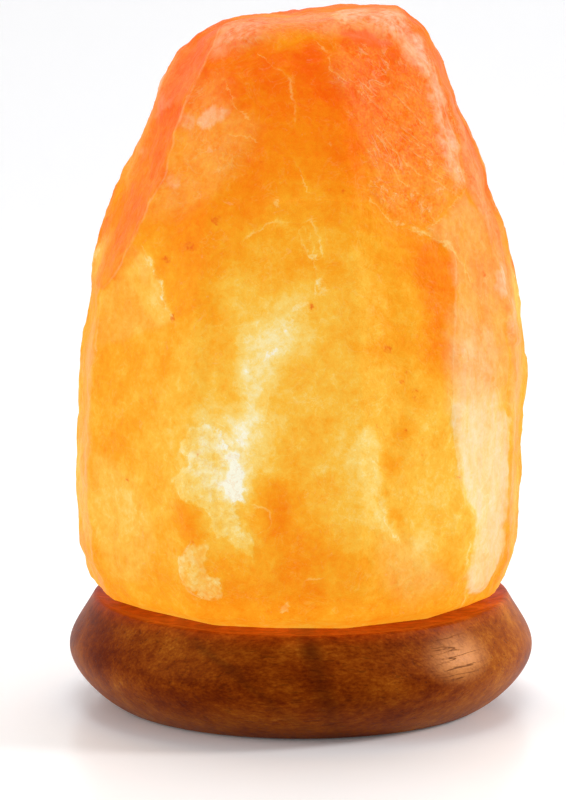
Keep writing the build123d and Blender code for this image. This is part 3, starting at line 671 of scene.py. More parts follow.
hot_px = deepest(seen, HOT_OUTLINES, inside_outline)
white_px = deepest(seen, WHITE_OUTLINES, inside_outline)
pale_px = deepest(seen, PALE_OUTLINES, inside_outline)
pale_px = np.maximum(pale_px, deepest(seen, PALE_DISCS, inside_discs))
speck_px = deepest(straight, [[s] for s in SPECKS], inside_discs)
print("points in crusts:", int((hot_px > 0).sum()), "hot,", int((pale_px > 0).sum()), "pale")

# %% Frosted faces: how frosted, how soft the edge is in pixels, and which face or outline
FROST = [
    (0.07, 3, FACES["left, above"]), (0.03, 3, FACES["left"]), (0.04, 4, FACES["wedge"]),
    (0.12, 10, FACES["brow"]), (0.05, 14, FACES["upper left"]), (0.03, 8, FACES["rough"]),
    (0.14, 3, FACES["right, above"]), (0.10, 2, FACES["triangle"]), (0.42, 2, FACES["pale"]),
    (0.34, 14, [(452, 338), (470, 336), (490, 362), (502, 400), (470, 420), (452, 410)]),
    (0.03, 6, FACES["lower left"]),
    (0.33, 6, [(404, 28), (417, 34), (430, 57), (440, 90), (450, 130), (457, 160), (463, 186),
               (455, 188), (446, 160), (438, 126), (428, 96), (420, 72), (404, 62), (398, 46)]),
    (0.20, 6, [(222, 24), (250, 20), (268, 22), (262, 34), (244, 44), (226, 58), (216, 60), (218, 40)]),
    (0.32, 6, [(334, 14), (360, 8), (398, 10), (412, 28), (400, 44), (386, 34), (366, 26), (344, 24)]),
    (0.20, 9, [(452, 310), (470, 312), (492, 332), (505, 372), (494, 386), (470, 372), (453, 362)]),
    (0.16, 3, [(155, 96), (168, 94), (176, 98), (176, 108), (166, 114), (152, 122)]),
    (0.07, 3, [(134, 258), (147, 253), (162, 281), (167, 296), (173, 316), (160, 306), (148, 290)]),
    (0.30, 2, [(197, 120), (207, 113), (219, 110), (231, 112), (224, 120), (212, 129), (202, 129)]),
    (0.18, 2, [(182, 115), (190, 113), (196, 120), (188, 129), (181, 127)]),
    (0.24, 2, [(166, 177), (176, 175), (183, 184), (176, 188), (165, 187)]),
    (0.36, 2, [(496, 258), (503, 262), (504, 280), (500, 298), (494, 290), (493, 272)]),
    (0.30, 2, [(509, 300), (515, 306), (517, 330), (513, 336), (509, 322)]),
    (0.12, 2, [(482, 550), (494, 546), (490, 570), (478, 588)]),
    (0.08, 16, [(380, 535), (425, 540), (444, 580), (410, 600), (384, 580)]),
    (0.12, 4, [(90, 300), (98, 330), (92, 380), (88, 460), (90, 540), (78, 540), (72, 460), (74, 380),
               (82, 310)]),
    (0.14, 4, [(506, 240), (516, 300), (524, 360), (526, 440), (520, 520), (508, 520), (512, 440),
               (510, 360), (504, 300)]),
]


def spread_out(shapes):
    """For each skin point the largest amount among soft-edged shapes, blended over the views."""
    total = np.zeros(len(skin))
    for places, share in zip(seen, shares):
        here = np.zeros(len(skin))
        for amount, edge, outline in shapes:
            here = np.maximum(here, amount * smoothstep(-edge, edge, inside_outline(places, outline)))
        total += share * here
    return total


frost = spread_out(FROST)
rough = spread_out([(1.0, 8, FACES["rough"]), (0.8, 6, FACES["right ridge"]),
                    (0.4, 6, FACES["right, above"]), (0.8, 10, FACES["brow"]),
                    (0.35, 4, FACES["upper left"]), (0.2, 4, FACES["triangle"])])
print("mean frost:", round(float(frost.mean()), 3))

# %% Glow: clouds of light and shade under the surface
# middle of the cloud and its half width and half height in pixels, then how much lighter it is
CLOUDS = [
    (265, 345, 46, 50, 0.16), (330, 300, 34, 40, 0.06), (250, 400, 30, 30, 0.06),
    (205, 420, 30, 40, 0.09), (222, 468, 40, 40, 0.08), (262, 470, 22, 40, 0.14),
    (350, 455, 34, 40, 0.12), (365, 520, 26, 30, 0.14), (450, 500, 44, 60, 0.14),
    (440, 420, 26, 30, 0.06), (128, 490, 34, 60, 0.05), (240, 530, 26, 22, 0.10),
    (275, 512, 22, 26, -0.14), (310, 560, 40, 30, -0.06), (240, 598, 30, 18, -0.12),
    (300, 445, 20, 26, -0.10), (440, 310, 20, 46, -0.12), (200, 235, 34, 24, -0.10),
    (402, 432, 9, 10, -0.16), (392, 464, 9, 9, -0.12), (398, 516, 10, 9, -0.16),
    (396, 594, 12, 10, -0.08), (160, 60, 30, 26, -0.04), (360, 42, 24, 6, -0.16),
    (180, 150, 30, 30, 0.04), (190, 530, 14, 14, -0.10), (410, 345, 24, 30, -0.05),
    (130, 260, 24, 34, 0.04), (220, 130, 20, 14, 0.06),
    (300, 40, 30, 12, 0.10), (360, 140, 30, 36, -0.12), (362, 90, 26, 24, -0.08), (182, 140, 16, 20, 0.06),
    (118, 240, 18, 34, -0.10), (300, 235, 44, 30, 0.15), (240, 240, 30, 24, 0.09), (360, 250, 30, 30, 0.08),
    (240, 292, 30, 34, 0.08), (365, 300, 34, 44, 0.12), (312, 345, 30, 30, 0.08), (362, 385, 26, 34, 0.12),
    (480, 290, 14, 44, -0.10), (120, 400, 24, 24, -0.05), (118, 440, 26, 30, -0.17),
    (240, 390, 18, 18, -0.06), (240, 490, 14, 18, 0.10), (300, 490, 20, 26, -0.05),
    (300, 545, 26, 24, -0.11), (300, 592, 34, 20, -0.13),
    (480, 540, 20, 24, 0.05), (420, 490, 24, 28, 0.04), (180, 540, 16, 16, 0.05), (120, 590, 24, 16, -0.06),
    (182, 372, 26, 30, 0.05), (300, 190, 26, 22, 0.08), (300, 38, 26, 12, 0.10), (300, 140, 24, 20, 0.08),
    (304, 340, 22, 22, 0.08), (300, 440, 18, 20, 0.08), (182, 492, 12, 16, -0.08), (425, 540, 22, 20, 0.08),
    (250, 438, 22, 26, 0.10), (240, 290, 22, 22, 0.06), (480, 345, 16, 30, -0.08),
    (390, 390, 110, 170, 0.02), (330, 40, 60, 14, 0.06),
]
LIGHT_SHAPES = [
    (0.15, 12, [(322, 276), (316, 300), (298, 326), (288, 348), (280, 366), (268, 392), (256, 428),
                (246, 450), (228, 442), (234, 415), (236, 396), (236, 372), (240, 350), (248, 326),
                (264, 306), (284, 290), (304, 280)]),
    (0.10, 4, [(352, 440), (372, 424), (378, 450), (380, 476), (386, 500), (392, 524), (399, 541),
               (384, 536), (368, 512), (356, 484)]),
    (0.10, 8, FACES["pale"]), (0.06, 16, FACES["upper left"]), (0.08, 8, FACES["lower left"]),
    (0.13, 5, [(124, 268), (147, 253), (162, 281), (167, 296), (174, 318), (156, 322), (140, 296)]),
]
SHADE_SHAPES = [
    (0.18, 2, FACES["left"]), (0.10, 3, FACES["left, above"]), (0.06, 2, FACES["right, above"]),
    (0.24, 2, [(340, 31), (352, 32), (372, 37), (390, 45), (384, 47), (366, 42), (350, 39)]),
    (0.12, 14, [(408, 246), (430, 250), (450, 262), (452, 300), (452, 352), (444, 380), (428, 340),
                (416, 290)]),
    (0.10, 8, [(178, 40), (190, 40), (168, 84), (146, 132), (118, 200), (100, 262), (93, 320), (86, 420),
               (84, 520), (90, 590), (60, 590), (60, 420), (84, 260), (110, 170), (150, 84)]),
    (0.08, 4, [(508, 340), (514, 380), (511, 460), (508, 520), (504, 600), (540, 600), (540, 340)]),
    (0.10, 10, [(280, 52), (312, 40), (328, 62), (342, 82), (356, 98), (340, 106), (320, 96), (300, 78)]),
    (0.10, 6, [(256, 470), (276, 476), (290, 500), (286, 530), (262, 534), (252, 508)]),
    (0.10, 5, [(178, 500), (196, 510), (204, 526), (204, 542), (186, 544), (170, 524)]),
    (0.08, 5, [(154, 256), (163, 278), (169, 296), (176, 318), (188, 312), (184, 284), (172, 258)]),
    (0.07, 5, [(396, 234), (420, 240), (442, 254), (458, 276), (452, 292), (430, 262), (404, 246)]),
]
GLOW_HEART = np.array((-0.004, 0.0, 0.078))
GLOW_NEAR = 48 * MM
GLOW_FAR = 112 * MM
GLOW_MOST = 0.60
GLOW_LEAST = 0.12

heart_distance = np.linalg.norm(skin - GLOW_HEART, axis=1)
glow = GLOW_MOST + (GLOW_LEAST - GLOW_MOST) * smoothstep(GLOW_NEAR, GLOW_FAR, heart_distance)
glow += spread_out(LIGHT_SHAPES) - spread_out(SHADE_SHAPES)


def soft_spots(places, spots):
    """The sum of soft round spots: 1 times the amount in the middle, fading outwards."""
    total = np.zeros(len(places))
    for x, y, half_width, half_height, amount in spots:
        reach = ((places[:, 0] - x) / half_width) ** 2 + ((places[:, 1] - y) / half_height) ** 2
        total += amount * np.exp(-reach)
    return total


for places, share in zip(seen, shares):
    glow += share * soft_spots(places, CLOUDS)
print("glow from", round(float(glow.min()), 2), "to", round(float(glow.max()), 2))

# %% [markdown]
# ## Weathering the skin
#
# With the marks known, the skin is moved along its normals: a slow swell, shallow hammer scars from
# a cell pattern, a fine grain, sharper ridges, and crusts and frosted faces that stand a little
# proud. Displace modifiers could do this from textures, but here the marks say where each change
# goes. The foot of the crystal stays flat, because it sits on the wood.

# %% Move each point along its normal
FULLNESS = 0.55 * MM
SWELL = 0.55 * MM
SCAR = 0.50 * MM
GRAIN = 0.24 * MM
RIDGE_RISE = 0.30 * MM
RIDGE_HALF = 3.0         # half width of a ridge, in pixels
CRUST_STEP = 0.30 * MM
FROST_STEP = 0.9 * MM
# a little more or less salt: place in the picture, half width and half height in pixels, then mm
TRIMS = [
    (74, 400, 20, 62, -1.0), (88, 300, 16, 34, -0.9), (526, 440, 20, 44, -1.1),
    (492, 184, 12, 18, -0.9), (206, 26, 18, 10, -1.4), (286, 10, 26, 10, -1.3),
    (166, 90, 14, 44, 0.8), (458, 108, 12, 16, -0.9), (448, 75, 10, 12, -0.8),
    (495, 204, 10, 20, -0.8), (72, 450, 14, 30, -0.6), (508, 388, 16, 40, -0.3),
]


def swell_at(p):
    return noise.noise(Vector(p) * 34) + 0.5 * noise.noise(Vector(p) * 75 + Vector((3, 1, 7)))


def scar_at(p):
    """Shallow dishes that meet in blunt edges."""
    gaps = noise.voronoi(Vector(p) * 75, distance_metric="DISTANCE", exponent=2.5)[0]
    return min(gaps[1] - gaps[0], 0.5) / 0.5 - 0.5


def grain_at(p):
    return noise.fractal(Vector(p) * 260, 0.8, 2.1, 4)


outward = skin_normals(crystal.data)
lift = FULLNESS + SWELL * np.array([swell_at(p) for p in skin])
lift += SCAR * np.array([scar_at(p) for p in skin])
lift += GRAIN * np.array([grain_at(p) for p in skin])
lift += RIDGE_RISE * by_ridge * np.exp(-(ridge_px / RIDGE_HALF) ** 2)
lift += CRUST_STEP * smoothstep(-2, 2, np.maximum(pale_px, hot_px))
lift += FROST_STEP * np.minimum(frost, 0.3)
lift += MM * soft_spots(flat_places[0], TRIMS)
lift *= free
put_skin(crystal.data, skin + outward * lift[:, None])
print("skin moved by", round(float(np.abs(lift).mean() / MM), 2), "mm on average")

# %% Keep the marks on the mesh
def keep_mark(piece, name, values):
    attribute = piece.data.attributes.new(name, "FLOAT", "POINT")
    attribute.data.foreach_set("value", values.astype(np.float32))


DEEPEST_MARK = 60
MARKS = {"ridge_px": ridge_px, "by_ridge": by_ridge, "vein_px": vein_px, "by_vein": by_vein,
         "hot_px": hot_px, "white_px": white_px, "pale_px": pale_px, "speck_px": speck_px,
         "frost": frost, "rough": rough, "glow": glow}
for name, values in MARKS.items():
    keep_mark(crystal, name, np.clip(values, -DEEPEST_MARK, DEEPEST_MARK))
print("marks kept:", len(crystal.data.attributes))

# %% [markdown]
# ## The salt crystal: finish
#
# Lit from inside, the salt's colour is the lamp's own light: deep orange where it is thick, yellow
# to white where it is thin or full of bubbles. Scattering in a volume would be the true way, but it is
# slow and noisy, and few other programs can show it. So one recipe makes the colour, and it is shared
# between the surface, which the studio lights, and a glow of its own. The frosted faces scatter the
# studio's light, so there the colour is mixed with a pale pink.

# %% Mix the salt
salt = Recipe("glowing_salt")
clouds = salt.noise(45, 4, 0.55, 0.5)
patches = salt.noise(140, 5, 0.62, 0.3)
fine = salt.noise(520, 4, 0.62)
grit = salt.noise(1400, 3, 0.70)
ragged_px = salt.spread(salt.noise(260, 4, 0.55, 0.3), 0.3, 0.7, -5.0, 5.0, smooth=False)
print("noise ready")

# %% Cleavage: blocky cells, each with a tone of its own
def cleavage(recipe, scale, push):
    """A random value for each of many blocky cells with uneven edges."""
    bend = recipe.add("ShaderNodeTexNoise", None, Vector=recipe.place, Scale=scale * 2.2, Detail=3.0)
    pushed = recipe.vectors("MULTIPLY_ADD", bend.outputs["Color"], (push, push, push), recipe.place)
    cells = recipe.add("ShaderNodeTexVoronoi", {"feature": "F1", "distance": "CHEBYCHEV"},
                       Vector=pushed[0], Scale=scale)
    return recipe.add("ShaderNodeSeparateColor", None, Color=cells.outputs["Color"]).outputs[0]


broad_cells = cleavage(salt, 70, 0.012)
small_cells = cleavage(salt, 230, 0.005)
print("with two sizes of cells:", len(salt.tree.nodes), "nodes")

# %% Growth lines that swirl through the rough faces, with painted relief shade beside them
SWIRLS = 62.0
swirl = salt.noise(58, 5, 0.60, 1.0, at=salt.aslant(38, 2.8))
growth = salt.math("SINE", salt.times(swirl, SWIRLS))
here_and_there = salt.spread(salt.noise(160, 3, 0.6), 0.40, 0.62)
growth_here = salt.times(salt.mark("rough"), here_and_there)
growth_light = salt.times(salt.spread(growth, 0.72, 1.0), growth_here)
# the dark side of each growth line is painted relief shade
growth_relief_shade = salt.times(salt.spread(growth, -0.55, -1.0), growth_here)


def threads(recipe, scale, width, distortion):
    """Thin wandering lines where a noise passes its middle value."""
    off_middle = recipe.math("SUBTRACT", recipe.noise(scale, 3, 0.6, distortion), 0.5)
    return recipe.spread(recipe.math("ABSOLUTE", off_middle), 0.0, width, 1.0, 0.0)


short_threads = salt.times(threads(salt, 170, 0.030, 1.2), here_and_there)
short_threads = salt.times(short_threads, salt.times_plus(salt.mark("rough"), 0.6, 0.4))
long_threads = salt.times(threads(salt, 42, 0.010, 1.0), salt.spread(salt.noise(100, 3, 0.6), 0.46, 0.62))
print("with growth lines and threads:", len(salt.tree.nodes), "nodes")

# %% Crusts, ridges and veins
frayed = salt.spread(salt.noise(620, 4, 0.65), 0.3, 0.7, -2.5, 2.5, smooth=False)
hot_depth = salt.math("ADD", salt.math("ADD", salt.mark("hot_px"), ragged_px), frayed)
crumbly = salt.times_plus(salt.spread(salt.noise(210, 3, 0.6), 0.35, 0.65), 0.5, 0.5)
hot = salt.times(salt.spread(hot_depth, -1.5, 2.5), crumbly)
hot_haze = salt.spread(hot_depth, -24.0, 6.0)
white_depth = salt.times_plus(ragged_px, 0.5, salt.mark("white_px"))
white = salt.spread(white_depth, -3.5, 2.5)
white_haze = salt.spread(white_depth, -14.0, 2.0)
pale_depth = salt.math("ADD", salt.times_plus(ragged_px, 0.6, salt.mark("pale_px")), frayed)
pale = salt.times(salt.spread(pale_depth, -1.0, 2.0), crumbly)
pale = salt.times(pale, salt.spread(fine, 0.35, 0.65, 0.55, 1.25))
rim = salt.spread(salt.math("ABSOLUTE", salt.math("SUBTRACT", hot_depth, 1.5)), 0.4, 2.4, 1.0, 0.0)
wobble = salt.spread(salt.noise(480, 4, 0.65), 0.3, 0.7, -2.0, 2.0, smooth=False)
vein_gap = salt.math("ADD", salt.times_plus(ragged_px, 0.35, salt.mark("vein_px")), wobble)
vein_width = salt.spread(patches, 0.35, 0.65, 0.5, 2.2)
ridge_gap = salt.math("ABSOLUTE", salt.times_plus(wobble, 0.30, salt.mark("ridge_px")))
breaks = salt.noise(190, 3, 0.6)
broken = salt.times(salt.mark("by_vein"), salt.spread(breaks, 0.42, 0.60, 0.15, 1.0))
vein = salt.times(salt.spread(salt.math("ABSOLUTE", vein_gap), 0.0, vein_width, 1.0, 0.0), broken)
beside_vein = salt.times(salt.spread(vein_gap, 0.5, 6.0, 1.0, 0.0), salt.spread(vein_gap, -0.5, 0.5))
beside_vein = salt.times(beside_vein, salt.mark("by_vein"))
ridge = salt.times(salt.spread(ridge_gap, 0.2, 1.4, 1.0, 0.0), salt.mark("by_ridge"))
ridge = salt.times(ridge, salt.spread(breaks, 0.34, 0.60, 0.25, 1.0))
print("with crusts, ridges and veins:", len(salt.tree.nodes), "nodes")

# %% Light under the surface
def add_share(recipe, total, source, low, high, share):
    """Adds share times the source, first spread to -1 to 1."""
    evened = recipe.spread(source, low, high, -1, 1, smooth=False)
    return recipe.times_plus(evened, share, total)


grain_share = salt.times_plus(salt.mark("rough"), 0.12, 0.035)
light = salt.mark("glow")
for source, low, high, share in (
        (clouds, 0.25, 0.75, 0.07), (patches, 0.25, 0.75, 0.09), (broad_cells, 0.0, 1.0, 0.025),
        (small_cells, 0.0, 1.0, 0.025), (fine, 0.25, 0.75, 0.07), (grit, 0.25, 0.75, grain_share)):
    light = add_share(salt, light, source, low, high, share)
for feature, share in ((hot, 0.14), (hot_haze, 0.10), (white, 0.40), (white_haze, 0.16), (pale, 0.16),
                       (rim, 0.01), (vein, 0.12), (beside_vein, 0.05), (ridge, 0.06),
                       (short_threads, 0.09), (long_threads, 0.06), (growth_light, 0.09),
                       (growth_relief_shade, -0.09), (salt.mark("frost"), 0.18)):
    light = salt.times_plus(feature, share, light)
colour = salt.ramp(light, [
    (0.00, (0.97, 0.125, 0.001)), (0.15, (0.98, 0.190, 0.002)), (0.32, (0.99, 0.280, 0.005)),
    (0.50, (1.00, 0.395, 0.016)), (0.66, (1.00, 0.530, 0.052)), (0.80, (1.00, 0.680, 0.165)),
    (0.92, (1.00, 0.840, 0.420)), (1.00, (1.00, 0.960, 0.760))])
print("with the light and its colours:", len(salt.tree.nodes), "nodes")

# %% Frost, painted glints, specks and granules over it
FROST_PINK = (1.0, 0.69, 0.50)
RIDGE_HIGHLIGHT_PINK = (1.0, 0.66, 0.44)
CRUST_CREAM = (1.0, 0.70, 0.38)
RUST_RED = (0.86, 0.14, 0.006)
GRANULE_BROWN = (0.82, 0.36, 0.03)
flecked = salt.spread(salt.times_plus(fine, 0.5, salt.times(patches, 0.6)), 0.42, 0.68, -0.8, 0.9)
uneven = salt.times_plus(salt.mark("rough"), 0.75, 0.25)
streaks = salt.noise(420, 4, 0.70, 0.4, at=salt.stretch(scale=(1, 1, 0.14)))
streaked = salt.spread(streaks, 0.35, 0.65, 0.72, 1.28, smooth=False)
frosted = salt.times(salt.mark("frost"), salt.times_plus(flecked, uneven, streaked))
frosted = salt.times_plus(growth_light, 0.16, frosted)
frosted = salt.times_plus(short_threads, 0.10, frosted)
# painted glints: small pale spots mixed into the frost pink
painted_glints = salt.spread(salt.noise(230, 4, 0.75, 1.0), 0.62, 0.72)
frosted = salt.times_plus(painted_glints, 0.10, frosted, clamp=True)
colour = salt.mix(frosted, colour, FROST_PINK)
# a painted highlight: pale pink along the ridges
colour = salt.mix(salt.times(ridge, 0.16), colour, RIDGE_HIGHLIGHT_PINK)
colour = salt.mix(salt.times_plus(vein, 0.18, salt.times(pale, 0.24)), colour, CRUST_CREAM)
dots = salt.spread(salt.noise(900, 2, 0.5), 0.35, 0.60, 0.25, 1.0)
speck_depth = salt.times_plus(frayed, 0.9, salt.mark("speck_px"))
rust = salt.times(salt.spread(speck_depth, -1.0, 2.0), dots)
colour = salt.mix(salt.times(rust, 0.80), colour, RUST_RED)
granules = salt.spread(salt.noise(1000, 3, 0.65), 0.56, 0.66)
granules = salt.math("MAXIMUM", granules, threads(salt, 300, 0.045, 0.6))
granules = salt.times(granules, salt.times_plus(pale, 0.4, hot_haze, clamp=True))
colour = salt.mix(salt.times(granules, 0.20), colour, GRANULE_BROWN)
print("with frost, specks and granules:", len(salt.tree.nodes), "nodes")

# %% Share the colour between surface and glow
SURFACE_SHARE = 0.36
GLOW_SHARE = 0.80
ABOVE_FOOT = 0.85        # the glow higher up, as a share of the glow at the foot
FOOT_LOW = seat_z + 2 * MM
FOOT_HIGH = seat_z + 16 * MM
surface_colour = salt.mix(1.0, colour, (SURFACE_SHARE,) * 3, "MULTIPLY")
height = salt.times_plus(fine, 0.5, salt.times(patches, 1.2))
height = salt.times_plus(salt.math("MAXIMUM", hot, pale), 0.12, height)
height = salt.times_plus(growth_light, 0.35, height)
glow_share = salt.spread(salt.axes()["Z"], FOOT_LOW, FOOT_HIGH, 1.0, ABOVE_FOOT)
glow_colour = salt.mix(1.0, colour, glow_share, "MULTIPLY")
salt.surface(Base_Color=surface_colour, Emission_Color=glow_colour, Emission_Strength=GLOW_SHARE,
             Roughness=salt.spread(patches, 0.3, 0.7, 0.38, 0.60), Specular_IOR_Level=0.05,
             Normal=salt.bump(height, 1.0 * MM, 0.9), IOR=1.54)
crystal.data.materials.clear()
crystal.data.materials.append(salt.material)
deselect_all()
crystal.select_set(True)
bpy.context.view_layer.objects.active = crystal
bpy.ops.object.shade_smooth()
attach(crystal, "base")
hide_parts("salt_crystal")
print("salt recipe:", len(salt.tree.nodes), "nodes")

# %% [markdown]
# ## The wooden base: finish
#
# The base is turned from one block of a warm brown hardwood and oiled. The grain runs from left to
# right, so the sides show long lines and the ends show arcs. The finish has slow brown bands, two dark
# smoky streaks, a fine golden fleck and short pores. The foot and the right shoulder carry painted
# light: their brown is made lighter. On the right shoulder a highlight is painted onto a glossier place
# that has a few drying cracks. A picture of wood would have to be wrapped round the turned shape. Noise
# that is stretched along the grain runs right through the block, as real figure does.

# %% Mix the wood
wood = Recipe("oiled_wood")
along = wood.stretch(scale=(0.28, 1.0, 1.0), turn=(0.12, 0.10, 0.22))
slow = wood.noise(26, 4, 0.55, 0.8, at=along)
figure = wood.noise(70, 5, 0.62, 0.8, at=wood.stretch(scale=(0.55, 1.0, 0.9), turn=(0.2, 0.35, 0)))
mottle = wood.noise(420, 4, 0.68, at=wood.stretch(scale=(0.6, 1.0, 1.0), turn=(0, 0.25, 0)))
fleck = wood.noise(1500, 3, 0.7, at=wood.stretch(scale=(0.45, 1.0, 1.0)))
pore_lines = wood.noise(1300, 2, 0.5, at=wood.stretch(scale=(0.14, 1.0, 1.0), turn=(0, 0.1, 0)))
tone = wood.times_plus(slow, 0.55, -0.05)
for source, share in ((figure, 0.40), (mottle, 0.30), (fleck, 0.34)):
    tone = wood.times_plus(source, share, tone)
spot = wood.axes()
# painted light: the wood's brown is made lighter towards the foot and on the right shoulder
PAINTED_FOOT_LIGHT = 0.085
PAINTED_RIGHT_LIGHT = 0.10
tone = wood.math("ADD", tone, wood.spread(spot["Z"], 3 * MM, 19 * MM, PAINTED_FOOT_LIGHT, 0.0))
right_side_light = wood.times(wood.spread(spot["X"], 34 * MM, 64 * MM), wood.spread(spot["Z"], 12 * MM, 20 * MM))
tone = wood.times_plus(right_side_light, PAINTED_RIGHT_LIGHT, tone)
brown = wood.ramp(tone, [
    (0.54, (0.060, 0.005, 0.0002)), (0.66, (0.145, 0.017, 0.0004)), (0.76, (0.235, 0.039, 0.0010)),
    (0.86, (0.345, 0.078, 0.0035)), (0.98, (0.520, 0.165, 0.0130))])
dark_pores = wood.spread(pore_lines, 0.60, 0.70)
brown = wood.mix(wood.times(dark_pores, 0.40), brown, (0.050, 0.006, 0.0004))
print("wood recipe so far:", len(wood.tree.nodes), "nodes")

# %% Dark heartwood streaks
# height of the streak at the middle of the front in mm, its slope across the front, how far from its
# middle line it fades out in mm, and how dark it is
SMOKE_LINES = [(5.0, 0.82, 3.0, 0.6), (37.5, 3.75, 18.0, 1.0)]
bend_line = wood.spread(slow, 0.2, 0.8, -6 * MM, 6 * MM, smooth=False)
smoke = 0.0
for level, slope, half, strength in SMOKE_LINES:
    off = wood.math("SUBTRACT", wood.math("ADD", spot["Z"], bend_line), level * MM)
    off = wood.math("ABSOLUTE", wood.times_plus(spot["X"], slope, off))
    smoke = wood.math("MAXIMUM", smoke, wood.spread(off, 0.0, half * MM, strength, 0.0))
smoke = wood.times(smoke, wood.spread(figure, 0.38, 0.58, 0.45, 1.0))
smoke = wood.times(smoke, wood.spread(spot["Z"], 4 * MM, 16 * MM, 0.4, 1.0))
brown = wood.mix(wood.times(smoke, 0.70), brown, (0.060, 0.008, 0.001))
print("with", len(SMOKE_LINES), "streaks:", len(wood.tree.nodes), "nodes")

# %% A painted highlight on a glossier place, with drying cracks, on the right shoulder
HIGHLIGHT_PLACE = (43.4 * MM, -47.0 * MM, 21.6 * MM)
HIGHLIGHT_FLATNESS = 1.7      # how much wider than high the place is
HIGHLIGHT_NEAR = 2 * MM
HIGHLIGHT_FAR = 15 * MM
CRACK_NEAR = 7 * MM
CRACK_FAR = 14 * MM
crack_noise = wood.noise(140, 3, 0.55, at=wood.stretch(scale=(0.15, 0.15, 2.3), turn=(0, -0.12, 0)))
crack_gap = wood.math("ABSOLUTE", wood.math("SUBTRACT", crack_noise, 0.5))
flat_middle = (HIGHLIGHT_PLACE[0], HIGHLIGHT_PLACE[1], HIGHLIGHT_PLACE[2] * HIGHLIGHT_FLATNESS)
from_place = wood.vectors("DISTANCE", wood.stretch(scale=(1, 1, HIGHLIGHT_FLATNESS)), flat_middle)["Value"]
cracks = wood.times(wood.spread(crack_gap, 0.003, 0.016, 1.0, 0.0),
                    wood.spread(from_place, CRACK_NEAR, CRACK_FAR, 1.0, 0.0))
gloss_and_highlight = wood.times(wood.spread(from_place, HIGHLIGHT_NEAR, HIGHLIGHT_FAR, 1.0, 0.0),
                  wood.spread(tone, 0.62, 0.90, 0.45, 1.0))
cracks = wood.times(cracks, wood.spread(figure, 0.40, 0.50, 0.15, 1.0))
# painted highlight: a pale golden brown mixed into the wood's colour over the glossier place
brown = wood.mix(wood.times(gloss_and_highlight, 0.85), brown, (0.76, 0.31, 0.100))
brown = wood.mix(wood.times(cracks, 0.75), brown, (0.080, 0.012, 0.001))
print("with the worn place:", len(wood.tree.nodes), "nodes")

# %% Glow of the crystal on the lip, and the oiled surface
LIP_GLOW_LOW = 25.5 * MM
LIP_GLOW_HIGH = 30.0 * MM
GLOW_RING_OUT = 62.0 * MM
GLOW_RING_IN = 56.5 * MM
flat = wood.add("ShaderNodeCombineXYZ", None, X=spot["X"], Y=spot["Y"])
near_salt = wood.spread(wood.vectors("LENGTH", flat.outputs[0])["Value"], GLOW_RING_OUT, GLOW_RING_IN)
lit = wood.times(near_salt, wood.spread(spot["Z"], LIP_GLOW_LOW, LIP_GLOW_HIGH))
lit = wood.times(lit, wood.spread(mottle, 0.35, 0.65, 0.5, 1.0))
gloss = wood.times_plus(gloss_and_highlight, -0.14, wood.spread(fleck, 0.3, 0.7, 0.38, 0.50))
wood.surface(Base_Color=brown, Roughness=gloss,
             Emission_Color=wood.mix(lit, (0, 0, 0), (0.55, 0.036, 0.001)), Emission_Strength=0.42,
             Specular_Tint=(1.0, 0.42, 0.14), Specular_IOR_Level=0.09)
grain_height = wood.times_plus(mottle, 0.5, wood.times(dark_pores, -0.8))
grain_height = wood.times_plus(cracks, -2.0, grain_height)
wood.surface(Normal=wood.bump(grain_height, 0.08 * MM, 0.6))
print("wood recipe:", len(wood.tree.nodes), "nodes")

# %% [markdown]
# ## Plain finishes for the fittings
#
# Screws and washers are zinc plated, the clips are bright spring steel, the holder is a dark
# moulded resin, and the electrical parts are brass or nickel. None of them is a flat colour: zinc
# shows a faint spangle, drawn and turned metal fine lines, and moulded resin a slight orange peel.

# %% Metals
def metal(name, colour, roughness, line_scale, stretch_by=(1, 1, 1)):
    """Metal with fine working lines and a slight change of tone."""
    recipe = Recipe(name)
    tone_noise = recipe.noise(140, 4, 0.6)
    lines = recipe.noise(line_scale, 2, 0.5, at=recipe.stretch(scale=stretch_by))
    dark = tuple(0.82 * c for c in colour)
    recipe.surface(Base_Color=recipe.mix(recipe.spread(tone_noise, 0.35, 0.65), dark, colour),
                   Metallic=1.0, Roughness=recipe.spread(lines, 0.3, 0.7, roughness * 0.8,
                                                         roughness * 1.25),
                   Normal=recipe.bump(lines, 0.02 * MM, 0.4))
    return recipe.material


zinc = metal("zinc_plate", (0.66, 0.67, 0.68), 0.32, 900)
spring_steel = metal("drawn_spring_steel", (0.52, 0.52, 0.53), 0.26, 1600, (1, 1, 0.08))
brass = metal("pressed_brass", (0.80, 0.56, 0.22), 0.24, 1200, (1, 1, 0.2))
nickel = metal("nickel_plate", (0.74, 0.70, 0.62), 0.22, 1200, (1, 1, 4))
tin = metal("dull_solder", (0.60, 0.60, 0.62), 0.45, 700)
tungsten = metal("grey_wire", (0.38, 0.37, 0.36), 0.35, 2000)
print("metals ready")

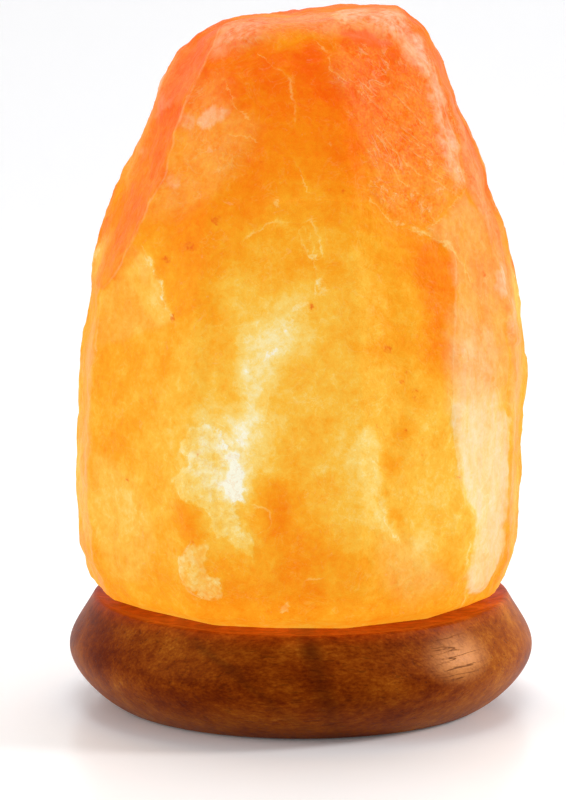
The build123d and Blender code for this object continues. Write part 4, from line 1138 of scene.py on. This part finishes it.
# %% Moulded resin, rubber, plastic plugs and glass
def moulded(name, colour, roughness, peel=500):
    """Moulded plastic or rubber with a slight peel and faint dust."""
    recipe = Recipe(name)
    skin_noise = recipe.noise(peel, 3, 0.5)
    dust = recipe.noise(120, 5, 0.65)
    pale_tone = tuple(min(1, c * 1.5 + 0.012) for c in colour)
    recipe.surface(Base_Color=recipe.mix(recipe.spread(dust, 0.45, 0.75), colour, pale_tone),
                   Roughness=recipe.spread(dust, 0.3, 0.7, roughness * 0.85, roughness * 1.15),
                   Normal=recipe.bump(skin_noise, 0.03 * MM, 0.5))
    return recipe.material


resin = moulded("holder_resin", (0.035, 0.032, 0.030), 0.32)
black_glass = moulded("black_glass", (0.012, 0.012, 0.014), 0.12)
rubber = moulded("foot_rubber", (0.028, 0.027, 0.026), 0.75, 900)
plug = moulded("plug_plastic", (0.70, 0.68, 0.62), 0.5)

clear = Recipe("clear_glass")
film = clear.noise(90, 3, 0.5)
clear.surface(Base_Color=clear.mix(clear.spread(film, 0.3, 0.7), (0.96, 0.95, 0.92), (1, 1, 1)),
              Roughness=clear.spread(film, 0.3, 0.7, 0.02, 0.06), IOR=1.47,
              Transmission_Weight=0.95)
print("materials made:", len(bpy.data.materials))

# %% Give each piece of the frame its finish
FINISHES = {
    "wooden_base": wood.material, "rubber_feet": rubber,
    "crystal_screws": zinc, "crystal_washers": zinc, "crystal_anchors": plug,
    "holder_plate": zinc, "holder_sleeve": resin, "sleeve_screws": zinc, "holder_insert": resin,
    "holder_cup": resin, "cup_screw": zinc, "screw_shell": brass, "side_terminal": brass,
    "centre_terminal": brass, "terminal_blocks": brass, "terminal_screws": zinc,
    "centre_contact": brass, "clip_right": spring_steel, "clip_left": spring_steel,
    "clip_pins": zinc, "clip_spring_right": spring_steel, "clip_spring_left": spring_steel,
    "bulb_tip": tin, "bulb_insulator": black_glass, "bulb_cap": nickel,
    "bulb_glass": clear.material, "bulb_stem": clear.material, "bulb_wires": tungsten,
    "bulb_filament": tungsten,
}
for name, finish in FINISHES.items():
    piece = cad[name]
    if not piece.material_slots:
        piece.data.materials.append(finish)
    for place in piece.material_slots:
        place.material = finish
unfinished = sorted(set(cad) - set(FINISHES) - {"salt_crystal"})
print("pieces without a finish:", unfinished)
